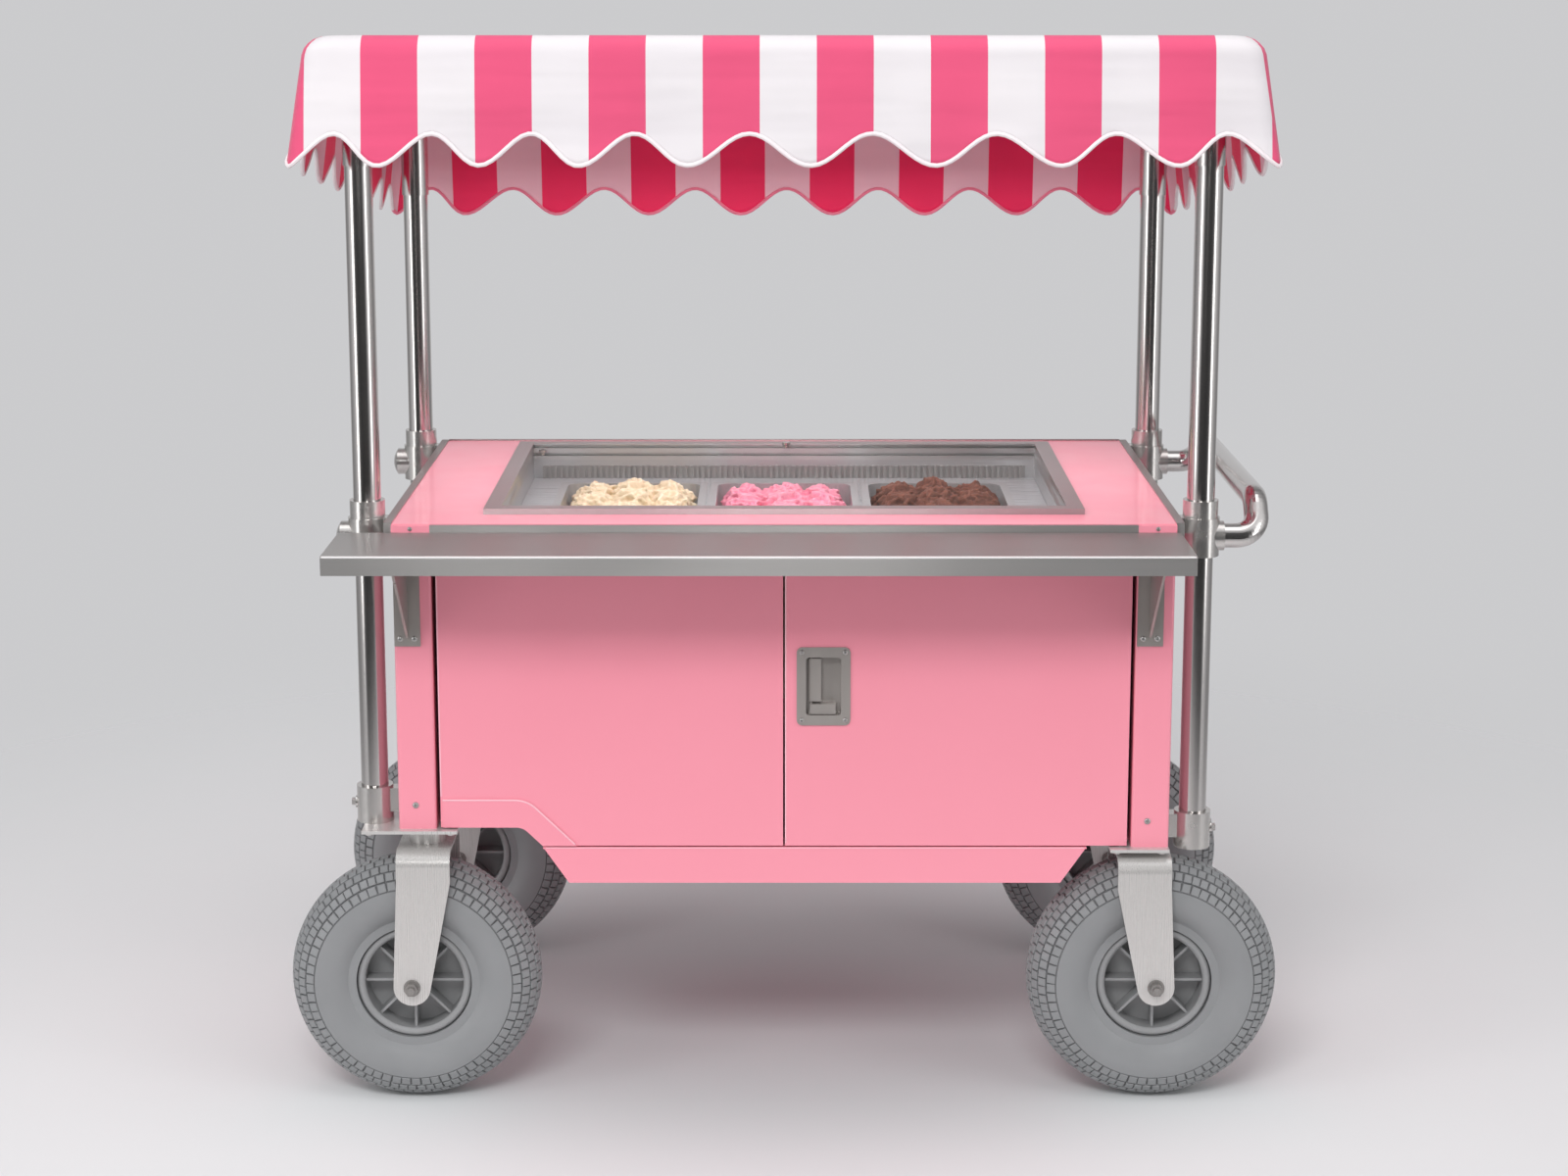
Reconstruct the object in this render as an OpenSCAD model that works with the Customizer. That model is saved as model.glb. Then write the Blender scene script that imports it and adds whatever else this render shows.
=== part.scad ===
// Ice cream push cart: a painted cabinet on four balloon-tyre casters, with a cold well
// under sliding glass lids, a serving shelf, a push handle and a striped canopy on posts.
// Millimetres. The origin is on the ground under the middle of the cart, +X points to the
// handle end, -Y to the customer, +Z up.

/* [Cabinet] */
// Width of the cabinet, side to side
body_w = 1200; // [1120:1:1280]
// Depth of the cabinet, front to back
body_d = 762; // [720:1:820]
// Height of the worktop above the ground
counter_h = 938; // [900:1:970]
// Underside of the cabinet above the tops of the wheels
body_clear = 28; // [27:1:44]
// Thickness of the painted sheet
sheet = 3; // [2:0.5:4]
// Thickness of the worktop with its folded edge
worktop_t = 20; // [14:1:26]
// Width of each front corner post
corner_w = 59; // [56:1:70]
// Depth of each front corner post
corner_d = 40; // [34:1:50]
// Height of the header rail over the doors
header_h = 28; // [20:1:36]
// Width of the flat steel trims beside the worktop
trim_w = 12; // [8:1:12]
// Thickness of the steel trim behind the worktop
back_trim_t = 6; // [4:1:10]
// Height of the trims
trim_h = 24; // [22:1:30]
// Height of the front nosing bar
nosing_h = 11; // [8:1:12]

/* [Wheel arch and plinth] */
// How far the arch lifts the floor at the end without the handle
arch_rise = 30; // [24:1:40]
// Length of the arch's flat, from the side of the cabinet
arch_flat = 193; // [180:1:200]
// Length of the arch's sloping shoulder
arch_slope = 31; // [26:1:50]
// Radius of the arch's rounded shoulder
arch_r = 24; // [10:1:30]
// Height of the raised band that follows the arch on the left door
arch_band = 44; // [34:1:54]
// How far that band stands out
band_t = 2.5; // [1:0.5:4]
// Height of the plinth under the floor
plinth_h = 58; // [44:1:60]
// How far each end of the plinth leans in
plinth_lean = 40; // [34:1:50]
// From the handle side of the cabinet to the plinth
plinth_inset = 128; // [124:1:150]

/* [Doors and latch] */
// Thickness of the doors
door_t = 20; // [20:1:26]
// Gap between the two doors
door_gap = 3; // [2:0.5:6]
// Gap between a door and its corner post
door_side_gap = 6.5; // [6:0.5:9]
// Gap above and below the doors
door_end_gap = 2.5; // [2:0.5:4]
// From the door's outer edge to its pivot
pivot_inset = 8; // [8:0.5:10]
// Diameter of the pivot pins
pivot_d = 8; // [6:0.5:9]
// How far a pivot pin reaches into the door
pivot_reach = 14; // [10:1:18]
// Middle of the latch, from the middle of the cart
latch_x = 61; // [58:1:90]
// Middle of the latch below the worktop
latch_drop = 255; // [200:1:300]
// Width of the latch's flange
latch_w = 83; // [80:1:90]
// Height of the latch's flange
latch_h = 124; // [120:1:134]
// Width of the latch's recess
recess_w = 54; // [52:1:58]
// Height of the latch's recess
recess_h = 92; // [90:1:98]
// Depth of the latch's recess behind the flange
recess_d = 15; // [15:0.5:16]
// Width of the paddle's grip bar
paddle_w = 20; // [16:1:22]
// Height of the paddle's grip bar
paddle_h = 68; // [60:1:69]

/* [Cold well] */
// From each side of the cabinet to the lid track
track_side = 133; // [120:1:150]
// From the front of the cabinet to the lid track
track_front = 77; // [60:1:90]
// From the back of the cabinet to the lid track
track_back = 59; // [50:1:80]
// Width of the track's rails
track_rail = 26; // [22:1:32]
// How far the track stands above the worktop
track_rise = 9; // [7:1:14]
// Thickness of the glass lids
glass_t = 4; // [3:0.5:5]
// How far the lids reach into the track
glass_bite = 6; // [4:1:10]
// How far the two lids overlap in the middle
lid_overlap = 24; // [12:1:40]
// Depth of the well's floor below the worktop
well_depth = 270; // [240:1:290]
// Thickness of the foam round the well
foam_t = 24; // [20:1:40]
// Height of the pan rack below the worktop
rack_drop = 52; // [46:1:64]
// From the side of the well to the first pan
pan_side = 53; // [20:1:80]
// Gap between two pans
pan_gap = 4; // [3:1:12]
// From the front of the well to the pans
pan_front = 12.4; // [8:0.2:30]
// From the back of the well to the pans
pan_back = 51.6; // [20:0.2:80]
// Depth of a pan
pan_h = 150; // [120:1:165]
// Radius of a scoop of ice cream
scoop_r = 44; // [40:1:50]

/* [Serving shelf] */
// Reach of the shelf in front of the cabinet
shelf_reach = 183; // [160:1:184]
// Top of the shelf below the worktop
shelf_drop = 12; // [8:1:18]
// Height of the shelf's folded edge
shelf_skirt = 29; // [20:1:32]
// How far the shelf passes the cabinet at its free end
shelf_over_left = 80; // [40:1:100]
// How far the shelf passes the cabinet at the handle end
shelf_over_right = 6; // [0:1:12]
// Thickness of the shelf's sheet
shelf_t = 2.5; // [2:0.5:4]
// Height of the brackets' back plates
bracket_h = 150; // [120:1:170]
// Width of the brackets' plates
bracket_w = 40; // [34:1:44]
// From the cabinet's side to the left bracket's plate
bracket_left_inset = 1; // [0:1:10]
// From the cabinet's side to the right bracket's plate
bracket_right_inset = 17; // [10:1:18]

/* [Posts and handle] */
// Diameter of the posts
post_d = 42.4; // [38:0.1:46]
// Wall of the posts
post_wall = 2; // [1.5:0.5:4]
// From the side of the cabinet to the middle of a post
post_out = 43; // [42:1:48]
// From the front and back of the cabinet to the middle of the posts
post_inset = 51; // [46:1:70]
// Diameter of the tee collars
collar_d = 60; // [56:1:60]
// Height of the tee collars
collar_h = 60; // [54:1:70]
// Height of the sleeve on top of each tee collar
sleeve_h = 27; // [20:1:36]
// Diameter of the sockets at the feet of the posts
socket_d = 57; // [56:1:64]
// Height of those sockets
socket_h = 58; // [48:1:70]
// How far the sockets hang below the cabinet at the handle end
socket_drop = 12; // [6:1:14]
// Diameter of the handle's tube
handle_d = 38; // [32:1:40]
// Reach of the handle from the middle of its posts
handle_reach = 90; // [80:1:104]
// Rise of the handle's grip above its ends
handle_rise = 52; // [40:1:60]
// Bend radius of the handle
handle_bend = 34; // [32:1:36]

/* [Canopy] */
// How far the hem passes the cabinet at each side
canopy_side = 116; // [100:1:140]
// How far the hem passes the cabinet at the front and the back
canopy_over = 185; // [170:1:200]
// Height of the canopy's front edge above the worktop
canopy_rise = 749; // [700:1:800]
// How far the roof falls to the back
canopy_fall = 168; // [120:1:190]
// From the roof to the low points of the hem
valance_drop = 191; // [170:1:210]
// Depth of the scallops
scallop_h = 46; // [30:1:56]
// How far the sides flare out
canopy_flare = 26; // [20:1:34]
// Thickness of the cloth with its lining
cloth_t = 4; // [3:0.5:6]
// Diameter of the roof frame's tubes
rail_d = 25; // [20:1:28]

/* [Casters] */
// Diameter of the wheels
wheel_d = 396; // [370:1:400]
// Width of the tyres
tyre_w = 116; // [112:1:124]
// Diameter of the rims' flanges
rim_d = 181; // [170:1:190]
// From the side of the cabinet to the king pins
caster_side = 37; // [32:1:44]
// From the front and back of the cabinet to the king pins
caster_end = 56; // [51:1:70]
// How far the wheels trail behind their king pins
trail = 21; // [10:1:24]
// Thickness of the casters' top plates
plate_t = 5; // [4:0.5:6]
// Thickness of the forks
fork_t = 5; // [4:0.5:6]
// Width of a fork at its crown
fork_w = 84; // [76:1:96]
// Diameter of the necks
neck_d = 58; // [50:1:64]
// Diameter of the king pins
king_d = 16; // [12:1:20]
// Diameter of the axle bolts
axle_d = 12; // [10:1:14]
// Room between tyre and fork, on each side
fork_gap = 8; // [6:1:12]
// Room between tyre and crown at the handle end
crown_gap_right = 8; // [7:0.5:9]
// Room between tyre and crown at the other end
crown_gap_left = 19; // [12:0.5:22]

/* [Hidden] */
$fn = 48;

// Clearances
run_fit = 0.08;
slip_fit = 0.2;
seat_gap = 0.3;
slide_gap = 0.4;
eps = 0.5;

// Colours
PINK = "#f490a4";
STEEL = "#b9b5b0";
DARK_STEEL = "#8f8d8a";
GREY = "#8d8f91";
FOAM = "#e8e2d2";
GLASS = "#cfe3e6";

// Places shared by several pieces
half_w = body_w / 2;
half_d = body_d / 2;
body_bottom = wheel_d + body_clear;
arch_bottom = body_bottom + arch_rise;
worktop_bottom = counter_h - worktop_t;
arch_x1 = -half_w + arch_flat;
arch_x2 = arch_x1 + arch_slope;
corner_in = half_w - corner_w;
inside_front = -half_d + corner_d;
post_x = half_w + post_out;
post_y = half_d - post_inset;
caster_x = half_w - caster_side;
caster_y = half_d - caster_end;
axle_z = wheel_d / 2;
shelf_z = counter_h - shelf_drop;
latch_z = counter_h - latch_drop;
canopy_w = body_w + 2 * canopy_side;
canopy_d = body_d + 2 * canopy_over;
canopy_top = counter_h + canopy_rise;
track_w = body_w - 2 * track_side;
track_d = body_d - track_front - track_back;
track_y = (track_front - track_back) / 2;

function left(side) = side < 0;
function side_bottom(side) = left(side) ? arch_bottom : body_bottom;

// Two-dimensional helpers

module round_rect(w, h, r) {
    square([w - 2 * r, h], center = true);
    square([w, h - 2 * r], center = true);
    for (x = [-1, 1], y = [-1, 1])
        translate([x * (w / 2 - r), y * (h / 2 - r)]) circle(r);
}

// Stands a drawing in X and Z up, and gives it a thickness towards +Y from y0
module stand_up(y0, t) {
    translate([0, y0 + t, 0]) rotate([90, 0, 0]) linear_extrude(t) children();
}

// Cabinet

// Underside of the cabinet, from left to right, with the wheel arch at the left
function underside(x_left, x_right, lift) = [
    [x_left, arch_bottom + lift], [arch_x1, arch_bottom + lift],
    [arch_x2, body_bottom + lift], [x_right, body_bottom + lift]];

function turned(list) = [for (i = [len(list) - 1:-1:0]) list[i]];

arch_turn = atan(arch_rise / arch_slope);

// Sliver that rounds the corner at v, where a level edge turns down to the right
module shoulder_sliver(v, r) {
    reach = r * tan(arch_turn / 2);
    start = v - [reach, 0];
    centre = start - [0, r];
    difference() {
        polygon([v, start, centre, v + reach * [cos(arch_turn), -sin(arch_turn)]]);
        translate(centre) circle(r);
    }
}

module cabinet_floor() {
    x = half_w - sheet;
    color(PINK) stand_up(inside_front, half_d - sheet - inside_front)
        polygon(concat(underside(-x, x, 0), turned(underside(-x, x, sheet))));
}

module side_panel(side) {
    bottom = side_bottom(side);
    x = left(side) ? -half_w : half_w - sheet;
    color(PINK) translate([x, inside_front, bottom])
        cube([sheet, half_d - inside_front, worktop_bottom - bottom]);
}

module back_panel() {
    x = half_w - sheet;
    color(PINK) stand_up(half_d - sheet, sheet)
        polygon(concat(underside(-x, x, 0), [[x, worktop_bottom], [-x, worktop_bottom]]));
}

corner_r = 5;

module corner_post(side) {
    bottom = side_bottom(side);
    x = left(side) ? -half_w : corner_in;
    color(PINK) translate([x, -half_d, bottom]) difference() {
        linear_extrude(worktop_bottom - bottom) union() {
            translate([0, corner_r]) square([corner_w, corner_d - corner_r]);
            translate([corner_r, 0]) square([corner_w - 2 * corner_r, corner_d]);
            for (k = [corner_r, corner_w - corner_r]) translate([k, corner_r]) circle(corner_r);
        }
        translate([sheet, sheet, sheet])
            cube([corner_w - 2 * sheet, corner_d - 2 * sheet, worktop_bottom - bottom]);
    }
}

header_bottom = worktop_bottom - header_h;

module front_header() {
    color(PINK) translate([-corner_in, -half_d, header_bottom]) difference() {
        cube([2 * corner_in, corner_d, header_h]);
        translate([-eps, sheet, sheet])
            cube([2 * corner_in + 2 * eps, corner_d, header_h - 2 * sheet]);
    }
}

plinth_left = arch_x2;
plinth_right = half_w - plinth_inset;
plinth_bottom = body_bottom - plinth_h;

// Tray under the floor: leaning ends, closed bottom, open to the floor sheet above
foot_in = 25;
foot_d = 12;
foot_h = 5;

module plinth() {
    module profile(wall, top) {
        polygon([[plinth_left + wall, body_bottom + top], [plinth_right - wall, body_bottom + top],
            [plinth_right - plinth_lean - wall, plinth_bottom + wall],
            [plinth_left + plinth_lean + wall, plinth_bottom + wall]]);
    }
    color(PINK) {
        difference() {
            stand_up(-half_d, body_d) profile(0, 0);
            stand_up(-half_d + sheet, body_d - 2 * sheet) profile(sheet, 0);
        }
        translate([plinth_left, -half_d, body_bottom - sheet])
            cube([plinth_right - plinth_left, corner_d, sheet]);
        for (x = [plinth_left + plinth_lean + foot_in, plinth_right - plinth_lean - foot_in], end = [-1, 1])
            translate([x, end * (half_d - foot_in), plinth_bottom - foot_h])
                cylinder(d = foot_d, h = foot_h + sheet / 2);
    }
}

track_in_w = track_w - 2 * track_rail;
track_in_d = track_d - 2 * track_rail;
track_flange = 10;
track_body_w = track_w - 2 * track_flange;
track_body_d = track_d - 2 * track_flange;

module worktop() {
    color(PINK) {
        translate([0, 0, worktop_bottom]) linear_extrude(worktop_t) difference() {
            square([body_w, body_d], center = true);
            translate([0, track_y])
                square([track_body_w + 2 * seat_gap, track_body_d + 2 * seat_gap], center = true);
        }
        for (side = [-1, 1])
            translate([left(side) ? -half_w : corner_in, -half_d - nosing_t, shelf_z])
                cube([corner_w, nosing_t + eps, nosing_h]);
    }
}

trim_top = counter_h + 2;

// Flat bars along both sides and the back, and the nosing over the shelf
module worktop_trim() {
    color(STEEL) {
        for (side = [-1, 1])
            translate([side * (half_w + trim_w / 2), 0, trim_top - trim_h / 2])
                cube([trim_w, body_d, trim_h], center = true);
        translate([0, half_d + back_trim_t / 2, trim_top - trim_h / 2])
            cube([body_w, back_trim_t, trim_h], center = true);
        translate([-corner_in, -half_d - nosing_t, shelf_z])
            cube([2 * corner_in, nosing_t, nosing_h]);
    }
}

// Cold well

track_top = counter_h + track_rise;
track_bottom = worktop_bottom;
groove_h = glass_t + 2 * slide_gap;
groove_lip = 3;
knob_h = 9;
upper_groove = track_top - groove_lip - groove_h;
lower_groove = upper_groove - knob_h - groove_h;
groove_d = glass_bite + 2;

// Ring of rail with a flange on the worktop and two grooves that carry the lids
module lid_track() {
    color(STEEL) translate([0, track_y, 0]) difference() {
        union() {
            translate([-track_body_w / 2, -track_body_d / 2, track_bottom])
                cube([track_body_w, track_body_d, track_top - track_bottom]);
            translate([-track_w / 2, -track_d / 2, counter_h])
                cube([track_w, track_d, track_rise]);
        }
        translate([-track_in_w / 2, -track_in_d / 2, track_bottom - eps])
            cube([track_in_w, track_in_d, track_top - track_bottom + 2 * eps]);
        for (z = [upper_groove, lower_groove])
            translate([-track_in_w / 2, -track_in_d / 2 - groove_d, z])
                cube([track_in_w, track_in_d + 2 * groove_d, groove_h]);
    }
}

lid_l = track_in_d + 2 * glass_bite;
lid_w = track_in_w / 2 + lid_overlap / 2 - 1;

// One pane: the left one runs in the lower groove, the right one in the upper
module lid(side) {
    z = (left(side) ? lower_groove : upper_groove) + slide_gap / 2;
    x = left(side) ? -track_in_w / 2 + 1 : track_in_w / 2 - 1 - lid_w;
    color(GLASS, 0.4) translate([x, track_y - lid_l / 2, z]) cube([lid_w, lid_l, glass_t]);
}

knob_d = 14;
knob_edge = 16;

// Turned knob, standing on its pane near the pane's left edge and the back rail
module lid_knob(side) {
    z = (left(side) ? lower_groove : upper_groove) + slide_gap / 2 + glass_t;
    x = left(side) ? -track_in_w / 2 + 1 + knob_edge : track_in_w / 2 - 1 - lid_w + knob_edge;
    color(STEEL) translate([x, track_y + track_in_d / 2 - knob_edge, z])
        rotate_extrude() polygon([[0, 0], [knob_d * 0.3, 0], [knob_d * 0.3, knob_h * 0.4],
            [knob_d / 2, knob_h * 0.6], [knob_d / 2, knob_h], [0, knob_h]]);
}

liner_t = 2.5;
ledge = 12;
rack_t = 3;
rack_top = counter_h - rack_drop;
well_bottom = counter_h - well_depth;

// Open tank with a ledge for the rack
module well_liner() {
    w = track_in_w + 2 * liner_t;
    d = track_in_d + 2 * liner_t;
    color(DARK_STEEL) translate([0, track_y, 0]) {
        difference() {
            translate([-w / 2, -d / 2, well_bottom]) cube([w, d, worktop_bottom - well_bottom]);
            translate([-track_in_w / 2, -track_in_d / 2, well_bottom + liner_t])
                cube([track_in_w, track_in_d, worktop_bottom - well_bottom]);
        }
        difference() {
            translate([-w / 2, -d / 2, rack_top - rack_t - liner_t]) cube([w, d, liner_t]);
            translate([-track_in_w / 2 + ledge, -track_in_d / 2 + ledge, rack_top - rack_t - 2 * liner_t])
                cube([track_in_w - 2 * ledge, track_in_d - 2 * ledge, 3 * liner_t]);
        }
    }
}

// Foam box that the liner stands in
module well_jacket() {
    w = track_in_w + 2 * liner_t + 2 * seat_gap;
    d = track_in_d + 2 * liner_t + 2 * seat_gap;
    bottom = well_bottom - seat_gap;
    color(FOAM) translate([0, track_y, 0]) difference() {
        translate([-w / 2 - foam_t, -d / 2 - foam_t, bottom - foam_t])
            cube([w + 2 * foam_t, d + 2 * foam_t, worktop_bottom - bottom + foam_t]);
        translate([-w / 2, -d / 2, bottom]) cube([w, d, worktop_bottom - bottom + eps]);
    }
}

plate_count = 3;
plate_h = 40;
pan_pitch = (track_in_w - 2 * pan_side + pan_gap) / 3;
pan_w = pan_pitch - pan_gap;
pan_l = track_in_d - pan_front - pan_back;

// Eutectic tanks lying on the floor of the well, one under each pan
module cold_plates() {
    l = track_in_d - 2 * ledge;
    color(GREY) for (i = [0:plate_count - 1])
        translate([(i - (plate_count - 1) / 2) * pan_pitch, track_y, well_bottom + liner_t + plate_h / 2])
            cube([pan_pitch - 2 * ledge, l, plate_h], center = true);
}

fin_pitch = 10;
fin_d = 4;
fin_back = 2;
fin_h = 22;

// Finned strip along the back wall, over the pans
module well_fins() {
    n = floor((track_in_w - 2 * ledge) / fin_pitch);
    function comb(i) = let (x = (i - n / 2) * fin_pitch)
        [[x, 0], [x, fin_d], [x + fin_pitch / 2, fin_d], [x + fin_pitch / 2, 0]];
    strip = concat([for (i = [0:n - 1]) each comb(i)],
        [[n / 2 * fin_pitch, 0], [n / 2 * fin_pitch, -fin_back], [-n / 2 * fin_pitch, -fin_back]]);
    color(DARK_STEEL) translate([0, track_y + track_in_d / 2 - fin_back, rack_top])
        mirror([0, 1, 0]) linear_extrude(fin_h) polygon(strip);
}

pan_t = 1.5;
pan_rim = 12;
pan_r = 26;
pan_rim_t = 2;
pan_y = track_y - track_in_d / 2 + pan_front + pan_l / 2;

module pan_outline(grow) {
    round_rect(pan_w - 2 * pan_rim + 2 * grow, pan_l - 2 * pan_rim + 2 * grow, pan_r + grow);
}

module pan_rack() {
    gap = slide_gap;
    color(STEEL) translate([0, 0, rack_top - rack_t]) linear_extrude(rack_t) difference() {
        translate([0, track_y])
            square([track_in_w - 2 * gap, track_in_d - 2 * gap], center = true);
        for (i = [-1:1]) translate([i * pan_pitch, pan_y]) pan_outline(gap);
    }
}

// Drawn pan whose rim hangs on the rack
module pan(i) {
    color(STEEL) translate([i * pan_pitch, pan_y, rack_top]) {
        linear_extrude(pan_rim_t) difference() {
            round_rect(pan_w, pan_l, pan_r / 2);
            pan_outline(-pan_t);
        }
        difference() {
            translate([0, 0, -pan_h]) linear_extrude(pan_h + pan_rim_t / 2) pan_outline(0);
            translate([0, 0, pan_t - pan_h]) linear_extrude(pan_h + pan_rim_t) pan_outline(-pan_t);
        }
    }
}

scoop_rows = 4;
heap = 10;
scoop_tint = ["#f0dfb8", "#f58aa8", "#7a4a34"];

// Filling that stands in the pan, with three scoops across and four along
module scoops(i) {
    inside_w = pan_w - 2 * pan_rim - 2 * pan_t;
    inside_l = pan_l - 2 * pan_rim - 2 * pan_t;
    step_x = inside_w / 2 - scoop_r - 2;
    step_y = (inside_l - 2 * scoop_r - 4) / (scoop_rows - 1);
    fill_top = rack_top - scoop_r + heap;
    fill_bottom = rack_top - pan_h + pan_t + seat_gap;
    color(scoop_tint[i + 1]) translate([i * pan_pitch, pan_y, 0]) {
        translate([0, 0, fill_bottom]) linear_extrude(fill_top - fill_bottom)
            pan_outline(-pan_t - 2 * seat_gap);
        for (x = [-1:1], y = [0:scoop_rows - 1])
            translate([x * step_x, (y - (scoop_rows - 1) / 2) * step_y, fill_top + abs(x) * -4])
                sphere(scoop_r);
    }
}

// Serving shelf

shelf_front = -half_d - shelf_reach;
nosing_t = 6;
shelf_left = half_w + shelf_over_left;
shelf_right = half_w + shelf_over_right;
shelf_r = 4;
shelf_set = nosing_t + seat_gap;

module shelf() {
    w = shelf_left + shelf_right;
    deep = shelf_reach - shelf_set;
    color(STEEL) translate([-shelf_left, shelf_front, shelf_z - shelf_skirt]) difference() {
        rotate([90, 0, 90]) linear_extrude(w) union() {
            translate([shelf_r, 0]) square([deep - shelf_r, shelf_skirt]);
            square([deep, shelf_skirt - shelf_r]);
            translate([shelf_r, shelf_skirt - shelf_r]) circle(shelf_r);
        }
        translate([shelf_t, shelf_t, -eps])
            cube([w - 2 * shelf_t, deep - 2 * shelf_t, shelf_skirt - shelf_t + eps]);
    }
}

bracket_t = 4;
bracket_reach = 150;
bracket_foot = 22;

// Back plate, gusset and top flange, flat on the corner post and under the shelf's sheet
module shelf_bracket(side) {
    inset = left(side) ? bracket_left_inset : bracket_right_inset;
    x = side * (half_w - inset - bracket_w / 2);
    top = shelf_z - shelf_t;
    plate_top = top - shelf_skirt + shelf_t;
    front = -half_d - shelf_set - shelf_t;
    color(STEEL) translate([x, 0, 0]) {
        translate([-bracket_w / 2, -half_d - bracket_t, plate_top - bracket_h])
            cube([bracket_w, bracket_t, bracket_h]);
        translate([-bracket_t / 2, 0, 0]) rotate([90, 0, 90]) linear_extrude(bracket_t)
            polygon([[-half_d - bracket_t / 2, plate_top - bracket_h + bracket_foot / 2],
                [-half_d - bracket_t / 2, plate_top], [front - bracket_t / 2, plate_top],
                [front - bracket_t / 2, top - bracket_t / 2], [front - bracket_reach, top - bracket_t / 2],
                [front - bracket_reach, top - bracket_foot]]);
        translate([-bracket_w / 2, front - bracket_reach, top - bracket_t])
            cube([bracket_w, bracket_reach, bracket_t]);
    }
}

// Posts, collars and handle

pitch = canopy_fall / canopy_d;
function roof_z(y) = canopy_top - (y + canopy_d / 2) * pitch;
function rail_z(y) = roof_z(y) - cloth_t - rail_d / 2 - seat_gap - rail_sink;
rail_sink = 0.2;
socket_floor = 4;
function socket_bottom(side) = left(side) ? arch_bottom : body_bottom - socket_drop;

module post(side, end) {
    bottom = socket_bottom(side) + socket_floor;
    top = rail_z(end * post_y) - rail_d / 2 - leg_crown;
    color(STEEL) translate([side * post_x, end * post_y, bottom]) difference() {
        cylinder(d = post_d, h = top - bottom);
        translate([0, 0, -eps]) cylinder(d = post_d - 2 * post_wall, h = top - bottom + 2 * eps);
    }
}

collar_rise = 2;
arm_wall = 4;
arm_stub = 6;
sleeve_wall = 6;
collar_top = counter_h + collar_rise;
arm_z = collar_top - collar_h / 2;
arm_d = handle_d + 2 * arm_wall;
arm_reach = collar_d / 2 + arm_stub;
sleeve_d = post_d + 2 * sleeve_wall;

// Tee collar clamped round its post, with a lug to the worktop's trim and an arm outwards
module collar(side, end) {
    bore = post_d + 2 * slip_fit;
    lug = post_out - trim_w;
    color(STEEL) translate([side * post_x, end * post_y, 0]) difference() {
        union() {
            translate([0, 0, collar_top - collar_h]) cylinder(d = collar_d, h = collar_h);
            translate([0, 0, collar_top - eps]) cylinder(d = sleeve_d, h = sleeve_h + eps);
            translate([0, 0, arm_z]) rotate([0, side * 90, 0]) cylinder(d = arm_d, h = arm_reach);
            translate([left(side) ? 0 : -lug, -collar_d / 4, trim_top - trim_h])
                cube([lug, collar_d / 2, trim_h]);
        }
        translate([0, 0, collar_top - collar_h - eps])
            cylinder(d = bore, h = collar_h + sleeve_h + 2 * eps);
        translate([0, 0, arm_z]) rotate([0, side * 90, 0])
            cylinder(d = handle_d + 2 * slip_fit, h = arm_reach + eps);
    }
}

cap_dome = 8;

// Domed plugs in the arms that carry no handle
module collar_caps() {
    r = arm_d / 2;
    ball = (r * r + cap_dome * cap_dome) / (2 * cap_dome);
    color(STEEL) for (end = [-1, 1])
        translate([-post_x - arm_reach - slip_fit / 2, end * post_y, arm_z]) rotate([0, -90, 0]) {
            translate([0, 0, -6]) cylinder(d = handle_d - 0.2, h = 6 + eps);
            cylinder(d = arm_d, h = 5);
            translate([0, 0, 5 - eps / 10]) intersection() {
                translate([0, 0, cap_dome - ball]) sphere(ball);
                cylinder(d = arm_d, h = cap_dome + 1);
            }
        }
}

socket_lug = 26;
bolt_d = 13;

// Cups at the feet of the posts, each with a lug flat on the cabinet's side
module post_sockets() {
    color(STEEL) {
        for (side = [-1, 1], end = [-1, 1])
            translate([side * post_x, end * post_y, socket_bottom(side)]) difference() {
            union() {
                cylinder(d = socket_d, h = socket_h);
                translate([left(side) ? 0 : -post_out, -socket_lug / 2, socket_drop + 4])
                    cube([post_out, socket_lug, socket_h - socket_drop - 8]);
            }
            translate([0, 0, socket_floor]) cylinder(d = post_d + 2 * slip_fit, h = socket_h);
        }
        for (side = [-1, 1], end = [-1, 1])
            translate([side * (post_x + socket_d / 2 - 2), end * post_y, socket_bottom(side) + socket_h / 2])
                rotate([0, side * 90, 0]) {
                    cylinder(d = bolt_d * 1.5, h = 3.5);
                    cylinder(d = bolt_d, h = 10, $fn = 6);
                }
    }
}

handle_run = 40;
handle_seat = 4;

// Bent tube from arm to arm: each end leaves its collar, turns up and bends into the grip
module handle() {
    e = atan2(handle_rise, handle_run);
    ease = handle_bend * tan(e / 2);
    x0 = post_x + post_d / 2 + handle_seat;
    x1 = post_x + handle_reach;
    leg = norm([handle_run, handle_rise]) - handle_bend - ease;
    grip = 2 * (post_y - handle_run - ease);
    color(STEEL) {
        for (end = [-1, 1]) mirror([0, end > 0 ? 1 : 0, 0]) {
            translate([0, -post_y, arm_z]) rotate([e, 0, 0]) {
                translate([x0, 0, 0]) rotate([0, 90, 0]) cylinder(d = handle_d, h = x1 - handle_bend - x0);
                translate([x1 - handle_bend, handle_bend, 0]) rotate(-90)
                    rotate_extrude(angle = 90) translate([handle_bend, 0]) circle(d = handle_d);
                translate([x1, handle_bend, 0]) rotate([-90, 0, 0]) cylinder(d = handle_d, h = leg);
            }
            translate([x1, -grip / 2, arm_z + handle_rise - handle_bend]) rotate([90, 0, 90]) rotate(90)
                rotate_extrude(angle = e) translate([handle_bend, 0]) circle(d = handle_d);
        }
        translate([x1, -grip / 2, arm_z + handle_rise]) rotate([-90, 0, 0]) cylinder(d = handle_d, h = grip);
    }
}

// Canopy and its frame

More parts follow.
